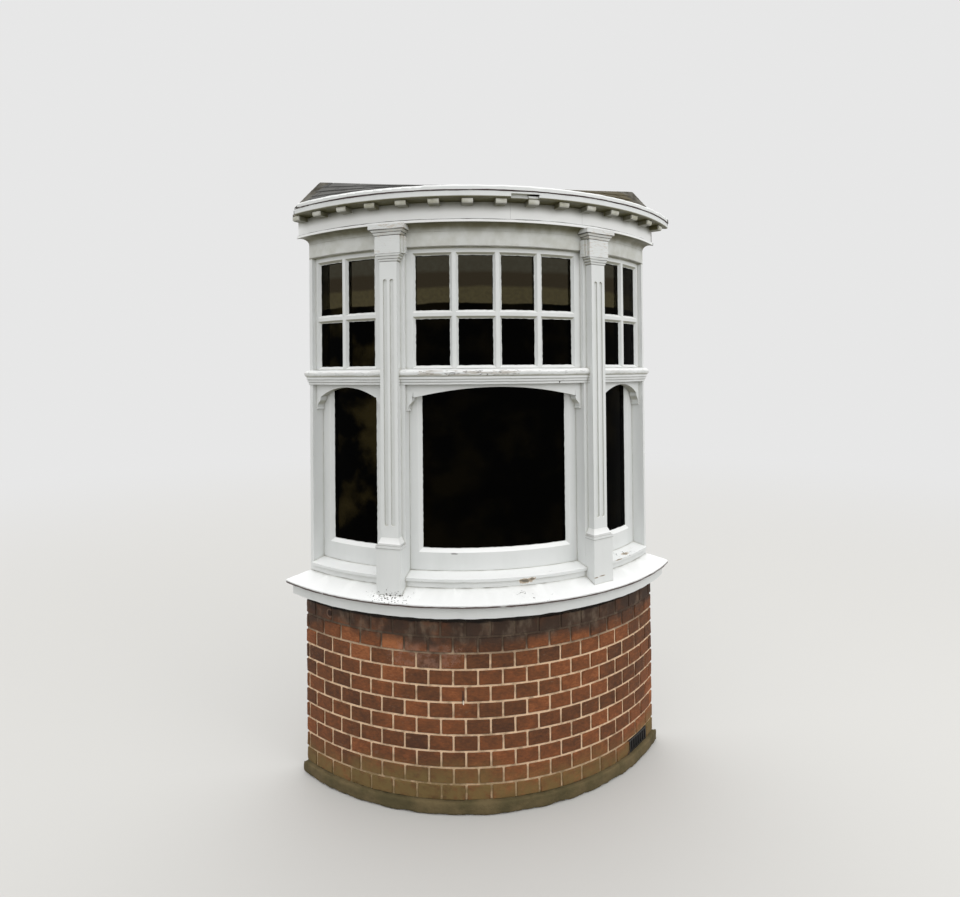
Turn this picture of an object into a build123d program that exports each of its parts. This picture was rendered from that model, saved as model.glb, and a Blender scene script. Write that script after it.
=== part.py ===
"""Curved ground-floor bay window: brick bow, painted timber window and low roof.

Millimetres. Z is up, -Y is the street side, and the origin is the bottom centre of the whole.
Every curved piece turns about one upright axis, the bow's centre, which stands behind the
house wall. An angle of 0 is the middle of the bay, and angles grow towards +X.
"""
from math import acos, cos, degrees, radians, sin, sqrt, tan
import os

from build123d import *

# Bow in plan
SETBACK = 812.0
BOW_RADIUS = 1237.0
WALL_BITE = 60.0
FRAME_SET_BACK = 16.0
CROWN_PROJECTION = 105.0
FULL_ANGLE = 75.0

# Brick base
COURSE = 76.0
COURSES = 11
BED_JOINT = 10.0
BASE_THICKNESS = 215.0
KERB_HEIGHT = 60.0
KERB_PROJECTION = 20.0
BASE_SEGMENTS = 4
AIR_BRICK_FROM_WALL = 198.0
AIR_BRICK_WIDTH = 196.0
AIR_BRICK_DEPTH = 70.0
AIR_BRICK_SET_BACK = 2.0
AIR_BRICK_SLOTS = 8
AIR_BRICK_SLOT_DEPTH = 35.0
AIR_BRICK_RIM = 9.0
AIR_BRICK_BAR = 9.0

# Sill
SILL_BED = 26.0
SILL_BED_RECESS = 14.0
SILL_FASCIA_PROJECTION = 57.0
SILL_FASCIA_HEIGHT = 58.0
SILL_NOSE_PROJECTION = 27.0
SILL_NOSE_HEIGHT = 13.0
SILL_RISE = 46.0
SILL_END_ROUND = 5.0

# Timber frame: the middle light is turned a little towards +X
FRAME_DEPTH = 112.0
MULLION_SHARE = 0.503
MULLION_WIDTH = 126.0
MIDDLE_TURN = 0.8
END_POST_WIDTH = 24.0
SUBSILL_FACE = 30.0
SUBSILL_NOSE_HEIGHT = 14.0
SUBSILL_NOSE_PROJECTION = 12.0
SUBSILL_FALL = 16.0
LOWER_LIGHT_HEIGHT = 898.0
UPPER_LIGHT_HEIGHT = 580.0
HEAD_HEIGHT = 71.0

# Transoms: stepped mouldings under a rounded nose
TRANSOM_HEIGHT = 76.0
TRANSOM_NOSE = 22.0
TRANSOM_STEPS = 3
TRANSOM_STEP_HEIGHT = 13.0
TRANSOM_STEP_WIDTH = 4.5
TRANSOM_FALL = 4.0

# Sashes: the upper ones stand in front, the lower ones slide behind them
SASH_RECESS = 23.0
SASH_THICKNESS = 40.0
SASH_CLEARANCE = 2.0
GLASS_THICKNESS = 4.0
GLASS_REBATE = 7.0
PUTTY_DEPTH = 14.0
LOWER_PUTTY_WIDTH = 18.0
LOWER_STILE = 61.0
LOWER_END_STILE = 75.0
LOWER_BOTTOM_RAIL = 105.0
LOWER_TOP_RAIL = 38.0
LOWER_TOP_LAP = 30.0
UPPER_PUTTY_WIDTH = 10.0
UPPER_STILE = 45.0
UPPER_END_STILE = 29.0
UPPER_BOTTOM_RAIL = 14.0
UPPER_TOP_RAIL = 34.0
BAR_WIDTH = 38.0
BAR_RISE = 246.0
MIDDLE_PANES = 4
SIDE_PANES = 2

# Arched boards under the transoms, with a horn at each end
ARCH_CROWN_DROP = 13.0
ARCH_RISE = 48.0
HORN_WIDTH = 35.0
HORN_LEDGE = 6.0
HORN_FOOT_WIDTH = 12.0
HORN_FOOT_HEIGHT = 8.0
HORN_ANKLE_WIDTH = 8.0
HORN_CURVE_HEIGHT = 54.0
HORN_TOP_STEP = 4.0

# Pilasters
PILASTER_SINK = 8.0
SHAFT_WIDTH = 88.0
SHAFT_PROJECTION = 41.0
FLUTE_WIDTH = 20.0
FLUTE_DEPTH = 7.0
FLUTE_SPACING = 34.0
FLUTE_FOOT_GAP = 54.0
FLUTE_HEAD_GAP = 84.0
PEDESTAL_HEIGHT = 189.0
PEDESTAL_WIDTH = 126.0
PEDESTAL_PROJECTION = 59.0
PEDESTAL_BAND_HEIGHT = 12.0
PEDESTAL_BAND_OUT = 3.0
PEDESTAL_FILLET_HEIGHT = 7.0
PEDESTAL_FILLET_IN = 5.0
PEDESTAL_SLOPE_HEIGHT = 29.0
ASTRAGAL_HEIGHT = 38.0
ASTRAGAL_BANDS = 3
NECK_HEIGHT = 84.0
NECK_WIDTH = 126.0
NECK_PROJECTION = 50.0
NECK_LAYERS = 3
NECK_LAYER_WIDTH = 8.0
NECK_LAYER_DEPTH = 13.0
CAP_WIDTH = 184.0
CAP_PROJECTION = 66.0
ABACUS_HEIGHT = 24.0
CAP_MOULDINGS = 2
CAP_MOULDING_HEIGHT = 13.5
CAP_MOULDING_OUT = 4.0
CAP_MOULDING_SHOULDER = 3.0

# Entablature
COVE_HEIGHT = 33.0
FRIEZE_PROJECTION = 41.0
LIP_HEIGHT = 14.0
LIP_PROJECTION = 7.0
FRIEZE_HEIGHT = 82.0
FRIEZE_THICKNESS = 82.0
MODILLIONS = 15
MODILLION_END_GAP = 52.0
MODILLION_TURN = 0.7
MODILLION_WIDTH = 52.0
MODILLION_HEIGHT = 23.0
MODILLION_PROJECTION = 62.0
MODILLION_FASCIA = 12.0
MODILLION_TONGUE = 15.0
CROWN_HEIGHT = 31.0
CROWN_EASE = 7.0
LOST_END = 147.0
LOST_END_DEPTH = 58.0
LOST_PIECE_START = 2.55
LOST_PIECE_END = 8.4
LOST_PIECE_DEPTH = 26.0
LOST_PIECE_HEIGHT = 20.0
CAP_STRIP_HEIGHT = 27.0
CAP_STRIP_WIDTH = 24.0
CAP_STRIP_OVERHANG = 4.0
CAP_STRIP_LOST_END = 175.0

# Roof and inside linings
ROOF_SET_BACK = 62.0
ROOF_UPSTAND = 20.0
ROOF_RISE = 152.0
ROOF_HIP_RUN = 135.0
ROOF_THICKNESS = 25.0
CEILING_THICKNESS = 20.0
WINDOW_BOARD_THICKNESS = 25.0
WINDOW_BOARD_OVERHANG = 22.0

# How far a cutting shape runs past the face it cuts
OVERRUN = 1.0

# Radii worked out from the values above
FRAME_RADIUS = BOW_RADIUS - FRAME_SET_BACK
CROWN_RADIUS = BOW_RADIUS + CROWN_PROJECTION
BRICK_INNER = BOW_RADIUS - BASE_THICKNESS
FRAME_INNER = FRAME_RADIUS - FRAME_DEPTH
UPPER_SASH_FRONT = FRAME_RADIUS - SASH_RECESS
UPPER_SASH_BACK = UPPER_SASH_FRONT - SASH_THICKNESS
LOWER_SASH_FRONT = UPPER_SASH_BACK - SASH_CLEARANCE
FRIEZE_RADIUS = FRAME_RADIUS + FRIEZE_PROJECTION
FRIEZE_INNER = FRIEZE_RADIUS - FRIEZE_THICKNESS
SILL_FASCIA_RADIUS = BOW_RADIUS + SILL_FASCIA_PROJECTION
SILL_NOSE_RADIUS = SILL_FASCIA_RADIUS + SILL_NOSE_PROJECTION
CROWN_FACE = CROWN_RADIUS - CAP_STRIP_OVERHANG
ROOF_RADIUS = CROWN_RADIUS - ROOF_SET_BACK

# Levels
BASE_TOP = KERB_HEIGHT + COURSES * COURSE
SILL_BOTTOM = BASE_TOP + SILL_BED
SILL_DRIP = SILL_BOTTOM + SILL_FASCIA_HEIGHT
SILL_TOP = SILL_DRIP + SILL_NOSE_HEIGHT + SILL_RISE
SUBSILL_NOSE_TOP = SILL_TOP + SUBSILL_FACE + SUBSILL_NOSE_HEIGHT
SUBSILL_TOP = SUBSILL_NOSE_TOP + SUBSILL_FALL
TRANSOM_BOTTOM = SUBSILL_TOP + LOWER_LIGHT_HEIGHT
TRANSOM_TOP = TRANSOM_BOTTOM + TRANSOM_HEIGHT
HEAD_BOTTOM = TRANSOM_TOP + UPPER_LIGHT_HEIGHT
HEAD_TOP = HEAD_BOTTOM + HEAD_HEIGHT
LIP_BOTTOM = HEAD_TOP + COVE_HEIGHT
LIP_TOP = LIP_BOTTOM + LIP_HEIGHT
FRIEZE_TOP = LIP_TOP + FRIEZE_HEIGHT
CROWN_TOP = FRIEZE_TOP + CROWN_HEIGHT
ROOF_EAVE = CROWN_TOP + ROOF_UPSTAND
ROOF_RIDGE = ROOF_EAVE + ROOF_RISE

# The house wall's face, behind which the bow's centre stands, and the back of the part
FACE_Y = (CROWN_RADIUS - SETBACK - WALL_BITE) / 2
BACK_Y = FACE_Y + WALL_BITE
CENTRE_Y = FACE_Y + SETBACK
BOW_AXIS = Axis((0, CENTRE_Y, 0), (0, 0, 1))
WALL_PLANE = Plane(origin=(0, FACE_Y, 0), z_dir=(0, -1, 0))
SIDES = {"left": -1, "right": 1}


def wall_angle(radius):
    """Angle at which a circle of this radius meets the wall's face."""
    return degrees(acos(SETBACK / radius))


def arc_angle(length, radius):
    """Angle that an arc of this length spans."""
    return degrees(length / radius)


def half_chord(radius):
    """Distance from the middle to where a circle of this radius meets the wall's face."""
    return sqrt(radius**2 - SETBACK**2)


def on_circle(radius, angle):
    """Point in plan on a circle about the bow's centre."""
    turn = radians(angle)
    return (radius * sin(turn), CENTRE_Y - radius * cos(turn))


def radial_plane(angle):
    """Upright plane through the bow's axis: local X runs outwards, local Y is up."""
    turn = radians(angle)
    return Plane(
        origin=(0, CENTRE_Y, 0),
        x_dir=(sin(turn), -cos(turn), 0),
        z_dir=(-cos(turn), -sin(turn), 0),
    )


def facing_plane(angle, distance):
    """Upright plane square to the radius at this angle, facing out at this distance."""
    turn = radians(angle)
    return Plane(
        origin=(*on_circle(distance, angle), 0),
        x_dir=(cos(turn), sin(turn), 0),
        z_dir=(sin(turn), -cos(turn), 0),
    )


def ring(points, start, end, mode=Mode.ADD):
    """Turn a section, given as (radius, height) points, about the bow's axis."""
    with BuildSketch(radial_plane(start)) as section:
        with BuildLine():
            Polyline(*points, close=True)
        make_face()
    revolve(section.sketch, axis=BOW_AXIS, revolution_arc=end - start, mode=mode)


def box_ring(inner, outer, bottom, top, start, end, mode=Mode.ADD):
    """Turn a rectangular section about the bow's axis."""
    corners = [(inner, bottom), (outer, bottom), (outer, top), (inner, top)]
    ring(corners, start, end, mode)


def trim_at_wall():
    """Cut what stands behind the house wall's face."""
    split(bisect_by=WALL_PLANE, keep=Keep.TOP)


def into_wall(inner, outer, bottom, top, sides=(-1, 1)):
    """Run a piece's ends straight back into the wall opening."""
    near = half_chord(inner)
    far = half_chord(outer)
    for side in sides:
        with BuildSketch(Plane.XY.offset(bottom)) as foot:
            with Locations((side * (near + far) / 2, (FACE_Y + BACK_Y) / 2)):
                Rectangle(far - near, WALL_BITE)
        extrude(foot.sketch, amount=top - bottom)


def radial_block(angle, width, near, far, bottom, top, mode=Mode.ADD):
    """Square-sided block standing across a radius, from one distance to another."""
    with BuildSketch(facing_plane(angle, near)) as face:
        with Locations((0, (bottom + top) / 2)):
            Rectangle(width, top - bottom)
    extrude(face.sketch, amount=far - near, mode=mode)


def flare(angle, near, lower, upper):
    """Moulding that grows from one (height, width, distance) to another."""
    turn = radians(angle)
    sections = []
    for height, width, far in (lower, upper):
        level = Plane(origin=(0, CENTRE_Y, height), x_dir=(cos(turn), sin(turn), 0), z_dir=(0, 0, 1))
        with BuildSketch(level) as section:
            with Locations((0, -(near + far) / 2)):
                Rectangle(width, far - near)
        sections.append(section.sketch.face())
    loft(sections)


def keep(part, name):
    """Name a finished piece and write it."""
    part.label = name
    export_step(part, f"parts/{name}.step")


os.makedirs("parts", exist_ok=True)

# Footing kerb that runs round the foot of the brickwork
with BuildPart() as kerb:
    box_ring(BRICK_INNER, BOW_RADIUS + KERB_PROJECTION, 0, KERB_HEIGHT, -FULL_ANGLE, FULL_ANGLE)
    trim_at_wall()
    into_wall(BRICK_INNER, BOW_RADIUS, 0, KERB_HEIGHT)
keep(kerb.part, "footing_kerb")

# Air brick in the lowest course
AIR_BRICK_ANGLE = wall_angle(BOW_RADIUS) - arc_angle(AIR_BRICK_FROM_WALL, BOW_RADIUS)
AIR_BRICK_TOP = KERB_HEIGHT + COURSE - BED_JOINT
AIR_BRICK_BACK = BOW_RADIUS - AIR_BRICK_DEPTH
AIR_BRICK_FACE = BOW_RADIUS - AIR_BRICK_SET_BACK
SLOT_PITCH = (AIR_BRICK_WIDTH - 2 * AIR_BRICK_RIM + AIR_BRICK_BAR) / AIR_BRICK_SLOTS
with BuildPart() as air_brick:
    radial_block(AIR_BRICK_ANGLE, AIR_BRICK_WIDTH, AIR_BRICK_BACK, AIR_BRICK_FACE,
                 KERB_HEIGHT, AIR_BRICK_TOP)
    with BuildSketch(facing_plane(AIR_BRICK_ANGLE, AIR_BRICK_FACE)):
        with Locations((0, (KERB_HEIGHT + AIR_BRICK_TOP) / 2)):
            with GridLocations(SLOT_PITCH, 0, AIR_BRICK_SLOTS, 1):
                Rectangle(SLOT_PITCH - AIR_BRICK_BAR, AIR_BRICK_TOP - KERB_HEIGHT - 2 * AIR_BRICK_RIM)
    extrude(amount=-AIR_BRICK_SLOT_DEPTH, mode=Mode.SUBTRACT)
keep(air_brick.part, "air_brick")

# Brick base in segments, the end ones running into the wall opening
SEGMENT_NAMES = ["left", "centre_left", "centre_right", "right"]
SEGMENT_ANGLE = 2 * wall_angle(BOW_RADIUS) / BASE_SEGMENTS
for index, place in enumerate(SEGMENT_NAMES):
    start = -wall_angle(BOW_RADIUS) + index * SEGMENT_ANGLE
    end = start + SEGMENT_ANGLE
    with BuildPart() as segment:
        if place in SIDES:
            side = SIDES[place]
            box_ring(BRICK_INNER, BOW_RADIUS, KERB_HEIGHT, BASE_TOP,
                     -FULL_ANGLE if side < 0 else start, FULL_ANGLE if side > 0 else end)
            trim_at_wall()
            into_wall(BRICK_INNER, BOW_RADIUS, KERB_HEIGHT, BASE_TOP, [side])
        else:
            box_ring(BRICK_INNER, BOW_RADIUS, KERB_HEIGHT, BASE_TOP, start, end)
        if place == "right":
            radial_block(AIR_BRICK_ANGLE, AIR_BRICK_WIDTH, AIR_BRICK_BACK, CROWN_RADIUS,
                         KERB_HEIGHT, AIR_BRICK_TOP, Mode.SUBTRACT)
    keep(segment.part, f"brick_base_{place}")

# Mortar bed under the sill
with BuildPart() as sill_bed:
    box_ring(BRICK_INNER, BOW_RADIUS - SILL_BED_RECESS, BASE_TOP, SILL_BOTTOM,
             -FULL_ANGLE, FULL_ANGLE)
    trim_at_wall()
    into_wall(BRICK_INNER, BOW_RADIUS - SILL_BED_RECESS, BASE_TOP, SILL_BOTTOM)
keep(sill_bed.part, "sill_bed")

# Weathered sill with a thin nose over a plain fascia
with BuildPart() as sill:
    ring([
        (BRICK_INNER, SILL_BOTTOM),
        (SILL_FASCIA_RADIUS, SILL_BOTTOM),
        (SILL_FASCIA_RADIUS, SILL_DRIP),
        (SILL_NOSE_RADIUS, SILL_DRIP),
        (SILL_NOSE_RADIUS, SILL_DRIP + SILL_NOSE_HEIGHT),
        (FRAME_RADIUS, SILL_TOP),
        (BRICK_INNER, SILL_TOP),
    ], -FULL_ANGLE, FULL_ANGLE)
    trim_at_wall()
    at_wall = sill.edges().filter_by(Axis.Z).filter_by_position(Axis.Y, FACE_Y - OVERRUN, FACE_Y + OVERRUN)
    fillet(at_wall.filter_by(lambda edge: abs(edge.center().X) > half_chord(BOW_RADIUS)), SILL_END_ROUND)
    into_wall(BRICK_INNER, FRAME_RADIUS, SILL_BOTTOM, SILL_TOP)
keep(sill.part, "sill")

# Board inside, over the wall top and up to the frame
with BuildPart() as window_board:
    box_ring(BRICK_INNER - WINDOW_BOARD_OVERHANG, FRAME_INNER, SILL_TOP,
             SILL_TOP + WINDOW_BOARD_THICKNESS, -FULL_ANGLE, FULL_ANGLE)
    trim_at_wall()
keep(window_board.part, "window_board")

# The two mullions and the end posts, which carry the head
MULLION_PLACES = {
    name: MIDDLE_TURN + side * MULLION_SHARE * wall_angle(FRAME_RADIUS) for name, side in SIDES.items()
}
MULLION_HALF = arc_angle(MULLION_WIDTH / 2, FRAME_RADIUS)
END_ANGLE = wall_angle(FRAME_RADIUS) - arc_angle(END_POST_WIDTH, FRAME_RADIUS)
END_PLACES = {name: side * END_ANGLE for name, side in SIDES.items()}
for name, place in MULLION_PLACES.items():
    with BuildPart() as mullion:
        box_ring(FRAME_INNER, FRAME_RADIUS, SILL_TOP, HEAD_BOTTOM,
                 place - MULLION_HALF, place + MULLION_HALF)
    keep(mullion.part, f"mullion_{name}")

for name, side in SIDES.items():
    place = END_PLACES[name]
    wall_place = side * wall_angle(FRAME_RADIUS)
    at_wall = on_circle(FRAME_RADIUS, wall_place)
    with BuildPart() as end_post:
        with BuildSketch(Plane.XY.offset(SILL_TOP)):
            with BuildLine():
                ThreePointArc(on_circle(FRAME_RADIUS, place),
                              on_circle(FRAME_RADIUS, (place + wall_place) / 2), at_wall)
                Polyline(at_wall, (at_wall[0], BACK_Y),
                         ((CENTRE_Y - BACK_Y) * tan(radians(place)), BACK_Y),
                         on_circle(FRAME_RADIUS, place))
            make_face()
        extrude(amount=HEAD_BOTTOM - SILL_TOP)
    keep(end_post.part, f"end_post_{name}")

# Head of the frame, with its plain architrave face
with BuildPart() as head:
    box_ring(FRAME_INNER, FRAME_RADIUS, HEAD_BOTTOM, HEAD_TOP, -FULL_ANGLE, FULL_ANGLE)
    trim_at_wall()
    into_wall(FRAME_INNER, FRAME_RADIUS, HEAD_BOTTOM, HEAD_TOP)
keep(head.part, "head")

# Frieze with a cove under it and a thin lip between
LIP_RADIUS = FRIEZE_RADIUS + LIP_PROJECTION
with BuildPart() as frieze:
    with BuildSketch(radial_plane(-FULL_ANGLE)):
        with BuildLine():
            cove = TangentArc((FRAME_RADIUS, HEAD_TOP), (FRIEZE_RADIUS, LIP_BOTTOM), tangent=(0, 1))
            Polyline(
                cove @ 1,
                (LIP_RADIUS, LIP_BOTTOM),
                (LIP_RADIUS, LIP_TOP),
                (FRIEZE_RADIUS, LIP_TOP),
                (FRIEZE_RADIUS, FRIEZE_TOP),
                (FRIEZE_INNER, FRIEZE_TOP),
                (FRIEZE_INNER, HEAD_TOP),
                cove @ 0,
            )
        make_face()
    revolve(axis=BOW_AXIS, revolution_arc=2 * FULL_ANGLE)
    trim_at_wall()
keep(frieze.part, "frieze")

# Pilasters: pedestal, fluted shaft and mouldings, seated on the sloping sill
PILASTER_BACK = FRAME_RADIUS - PILASTER_SINK
SHAFT_FACE = FRAME_RADIUS + SHAFT_PROJECTION
PEDESTAL_FACE = FRAME_RADIUS + PEDESTAL_PROJECTION
NECK_FACE = FRAME_RADIUS + NECK_PROJECTION
CAP_FACE = FRAME_RADIUS + CAP_PROJECTION
PEDESTAL_TOP = SILL_TOP + PEDESTAL_HEIGHT
PEDESTAL_BAND_TOP = PEDESTAL_TOP + PEDESTAL_BAND_HEIGHT
PEDESTAL_FILLET_TOP = PEDESTAL_BAND_TOP + PEDESTAL_FILLET_HEIGHT
SHAFT_BOTTOM = PEDESTAL_FILLET_TOP + PEDESTAL_SLOPE_HEIGHT
CAP_BOTTOM = LIP_BOTTOM - ABACUS_HEIGHT - CAP_MOULDINGS * CAP_MOULDING_HEIGHT
NECK_BOTTOM = CAP_BOTTOM - NECK_HEIGHT
SHAFT_TOP = NECK_BOTTOM - ASTRAGAL_HEIGHT
FLUTE_BOTTOM = SHAFT_BOTTOM + FLUTE_FOOT_GAP
FLUTE_TOP = SHAFT_TOP - FLUTE_HEAD_GAP
BAND_HEIGHT = ASTRAGAL_HEIGHT / ASTRAGAL_BANDS
BAND_WIDTH_STEP = (NECK_WIDTH - SHAFT_WIDTH) / ASTRAGAL_BANDS
BAND_FACE_STEP = (NECK_FACE - SHAFT_FACE) / ASTRAGAL_BANDS
pilasters = []
for name, place in MULLION_PLACES.items():
    with BuildPart() as pilaster:
        radial_block(place, PEDESTAL_WIDTH, PILASTER_BACK, PEDESTAL_FACE, SILL_BOTTOM, PEDESTAL_TOP)
        radial_block(place, PEDESTAL_WIDTH + 2 * PEDESTAL_BAND_OUT, PILASTER_BACK,
                     PEDESTAL_FACE + PEDESTAL_BAND_OUT, PEDESTAL_TOP, PEDESTAL_BAND_TOP)
        radial_block(place, PEDESTAL_WIDTH - 2 * PEDESTAL_FILLET_IN, PILASTER_BACK,
                     PEDESTAL_FACE - PEDESTAL_FILLET_IN, PEDESTAL_BAND_TOP, PEDESTAL_FILLET_TOP)
        flare(place, PILASTER_BACK,
              (PEDESTAL_FILLET_TOP, PEDESTAL_WIDTH - 2 * PEDESTAL_FILLET_IN,
               PEDESTAL_FACE - PEDESTAL_FILLET_IN),
              (SHAFT_BOTTOM, SHAFT_WIDTH, SHAFT_FACE))
        radial_block(place, SHAFT_WIDTH, PILASTER_BACK, SHAFT_FACE, SHAFT_BOTTOM, SHAFT_TOP)
        with BuildSketch(facing_plane(place, SHAFT_FACE)):
            with Locations((0, (FLUTE_BOTTOM + FLUTE_TOP) / 2)):
                with GridLocations(FLUTE_SPACING, 0, 2, 1):
                    SlotOverall(FLUTE_TOP - FLUTE_BOTTOM, FLUTE_WIDTH, rotation=90)
        extrude(amount=-FLUTE_DEPTH, mode=Mode.SUBTRACT)
        for band in range(ASTRAGAL_BANDS):
            foot = SHAFT_TOP + band * BAND_HEIGHT
            width = SHAFT_WIDTH + (band + 1) * BAND_WIDTH_STEP
            face = SHAFT_FACE + (band + 1) * BAND_FACE_STEP
            flare(place, PILASTER_BACK, (foot, width - BAND_WIDTH_STEP, face - BAND_FACE_STEP),
                  (foot + BAND_HEIGHT / 2, width, face))
            radial_block(place, width, PILASTER_BACK, face, foot + BAND_HEIGHT / 2, foot + BAND_HEIGHT)
        add(sill.part, mode=Mode.SUBTRACT)
        box_ring(FRAME_INNER, FRAME_RADIUS, SILL_BOTTOM, CROWN_TOP, -FULL_ANGLE, FULL_ANGLE,
                 Mode.SUBTRACT)
    keep(pilaster.part, f"pilaster_{name}")
    pilasters.append(pilaster.part)

# Capitals: layered necking and a stepped cap that runs up under the frieze lip
MOULDING_WIDTH_STEP = (CAP_WIDTH - NECK_WIDTH) / (CAP_MOULDINGS + 1)
MOULDING_FACE_STEP = (CAP_FACE - NECK_FACE) / (CAP_MOULDINGS + 1)
for name, place in MULLION_PLACES.items():
    with BuildPart() as capital:
        for layer in range(NECK_LAYERS):
            radial_block(place, NECK_WIDTH + 2 * layer * NECK_LAYER_WIDTH, PILASTER_BACK,
                         NECK_FACE - layer * NECK_LAYER_DEPTH, NECK_BOTTOM, CAP_BOTTOM)
        for moulding in range(CAP_MOULDINGS):
            foot = CAP_BOTTOM + moulding * CAP_MOULDING_HEIGHT
            top = foot + CAP_MOULDING_HEIGHT
            width = NECK_WIDTH + (moulding + 1) * MOULDING_WIDTH_STEP
            face = NECK_FACE + (moulding + 1) * MOULDING_FACE_STEP
            flare(place, PILASTER_BACK,
                  (foot, width - MOULDING_WIDTH_STEP + CAP_MOULDING_OUT, face - MOULDING_FACE_STEP),
                  (top - CAP_MOULDING_SHOULDER, width, face))
            radial_block(place, width, PILASTER_BACK, face, top - CAP_MOULDING_SHOULDER, top)
        radial_block(place, CAP_WIDTH, PILASTER_BACK, CAP_FACE, LIP_BOTTOM - ABACUS_HEIGHT, LIP_BOTTOM)
        add(frieze.part, mode=Mode.SUBTRACT)
        box_ring(FRAME_INNER, FRAME_RADIUS, NECK_BOTTOM, HEAD_TOP, -FULL_ANGLE, FULL_ANGLE,
                 Mode.SUBTRACT)
    keep(capital.part, f"capital_{name}")

# The three lights, each with its own stile widths and number of panes
LIGHTS = {
    "left": (END_PLACES["left"], MULLION_PLACES["left"] - MULLION_HALF),
    "centre": (MULLION_PLACES["left"] + MULLION_HALF, MULLION_PLACES["right"] - MULLION_HALF),
    "right": (MULLION_PLACES["right"] + MULLION_HALF, END_PLACES["right"]),
}


def daylight(front, start, end, bottom, top, putty):
    """Hole for one pane: splayed for the putty in front of the glass, square behind it."""
    glass_front = front - PUTTY_DEPTH
    reach = front + OVERRUN
    splay = putty * (PUTTY_DEPTH + OVERRUN) / PUTTY_DEPTH
    turn = arc_angle(splay, reach)
    with BuildPart() as hole:
        ring([(glass_front, bottom), (reach, bottom - splay), (reach, top + splay), (glass_front, top)],
             start - turn, end + turn)
        with BuildSketch(Plane.XY.offset(bottom - splay)) as plan:
            with BuildLine():
                near = ThreePointArc(on_circle(glass_front, start),
                                     on_circle(glass_front, (start + end) / 2),
                                     on_circle(glass_front, end))
                far = ThreePointArc(on_circle(reach, start - turn), on_circle(reach, (start + end) / 2),
                                    on_circle(reach, end + turn))
                Line(near @ 0, far @ 0)
                Line(near @ 1, far @ 1)
            make_face()
        extrude(plan.sketch, amount=top - bottom + 2 * splay, mode=Mode.INTERSECT)
        box_ring(front - SASH_THICKNESS - OVERRUN, glass_front, bottom, top, start, end)
    return hole.part


def pane(front, start, end, bottom, top):
    """Curved sheet of glass that laps into the rebate on every side."""
    glass_front = front - PUTTY_DEPTH
    lap = arc_angle(GLASS_REBATE, glass_front)
    with BuildPart() as sheet:
        box_ring(glass_front - GLASS_THICKNESS, glass_front, bottom - GLASS_REBATE, top + GLASS_REBATE,
                 start - lap, end + lap)
    return sheet.part


def glazed_sash(name, front, span, base, crest, openings, putty):
    """Make a sash and its panes of glass, and write both."""
    holes = [daylight(front, *opening, putty) for opening in openings]
    panes = [pane(front, *opening) for opening in openings]
    with BuildPart() as sash:
        box_ring(front - SASH_THICKNESS, front, base, crest, *span)
        for cut in holes + panes:
            add(cut, mode=Mode.SUBTRACT)
    keep(sash.part, f"{name[0]}_sash_{name[1]}")
    with BuildPart() as glazing:
        for sheet in panes:
            add(sheet)
    keep(glazing.part, f"{name[0]}_glass_{name[1]}")


def stile_angles(light, stile, end_stile, radius):
    """Stile widths of a light at its two sides, as angles."""
    start = end_stile if light == "left" else stile
    end = end_stile if light == "right" else stile
    return arc_angle(start, radius), arc_angle(end, radius)


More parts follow.
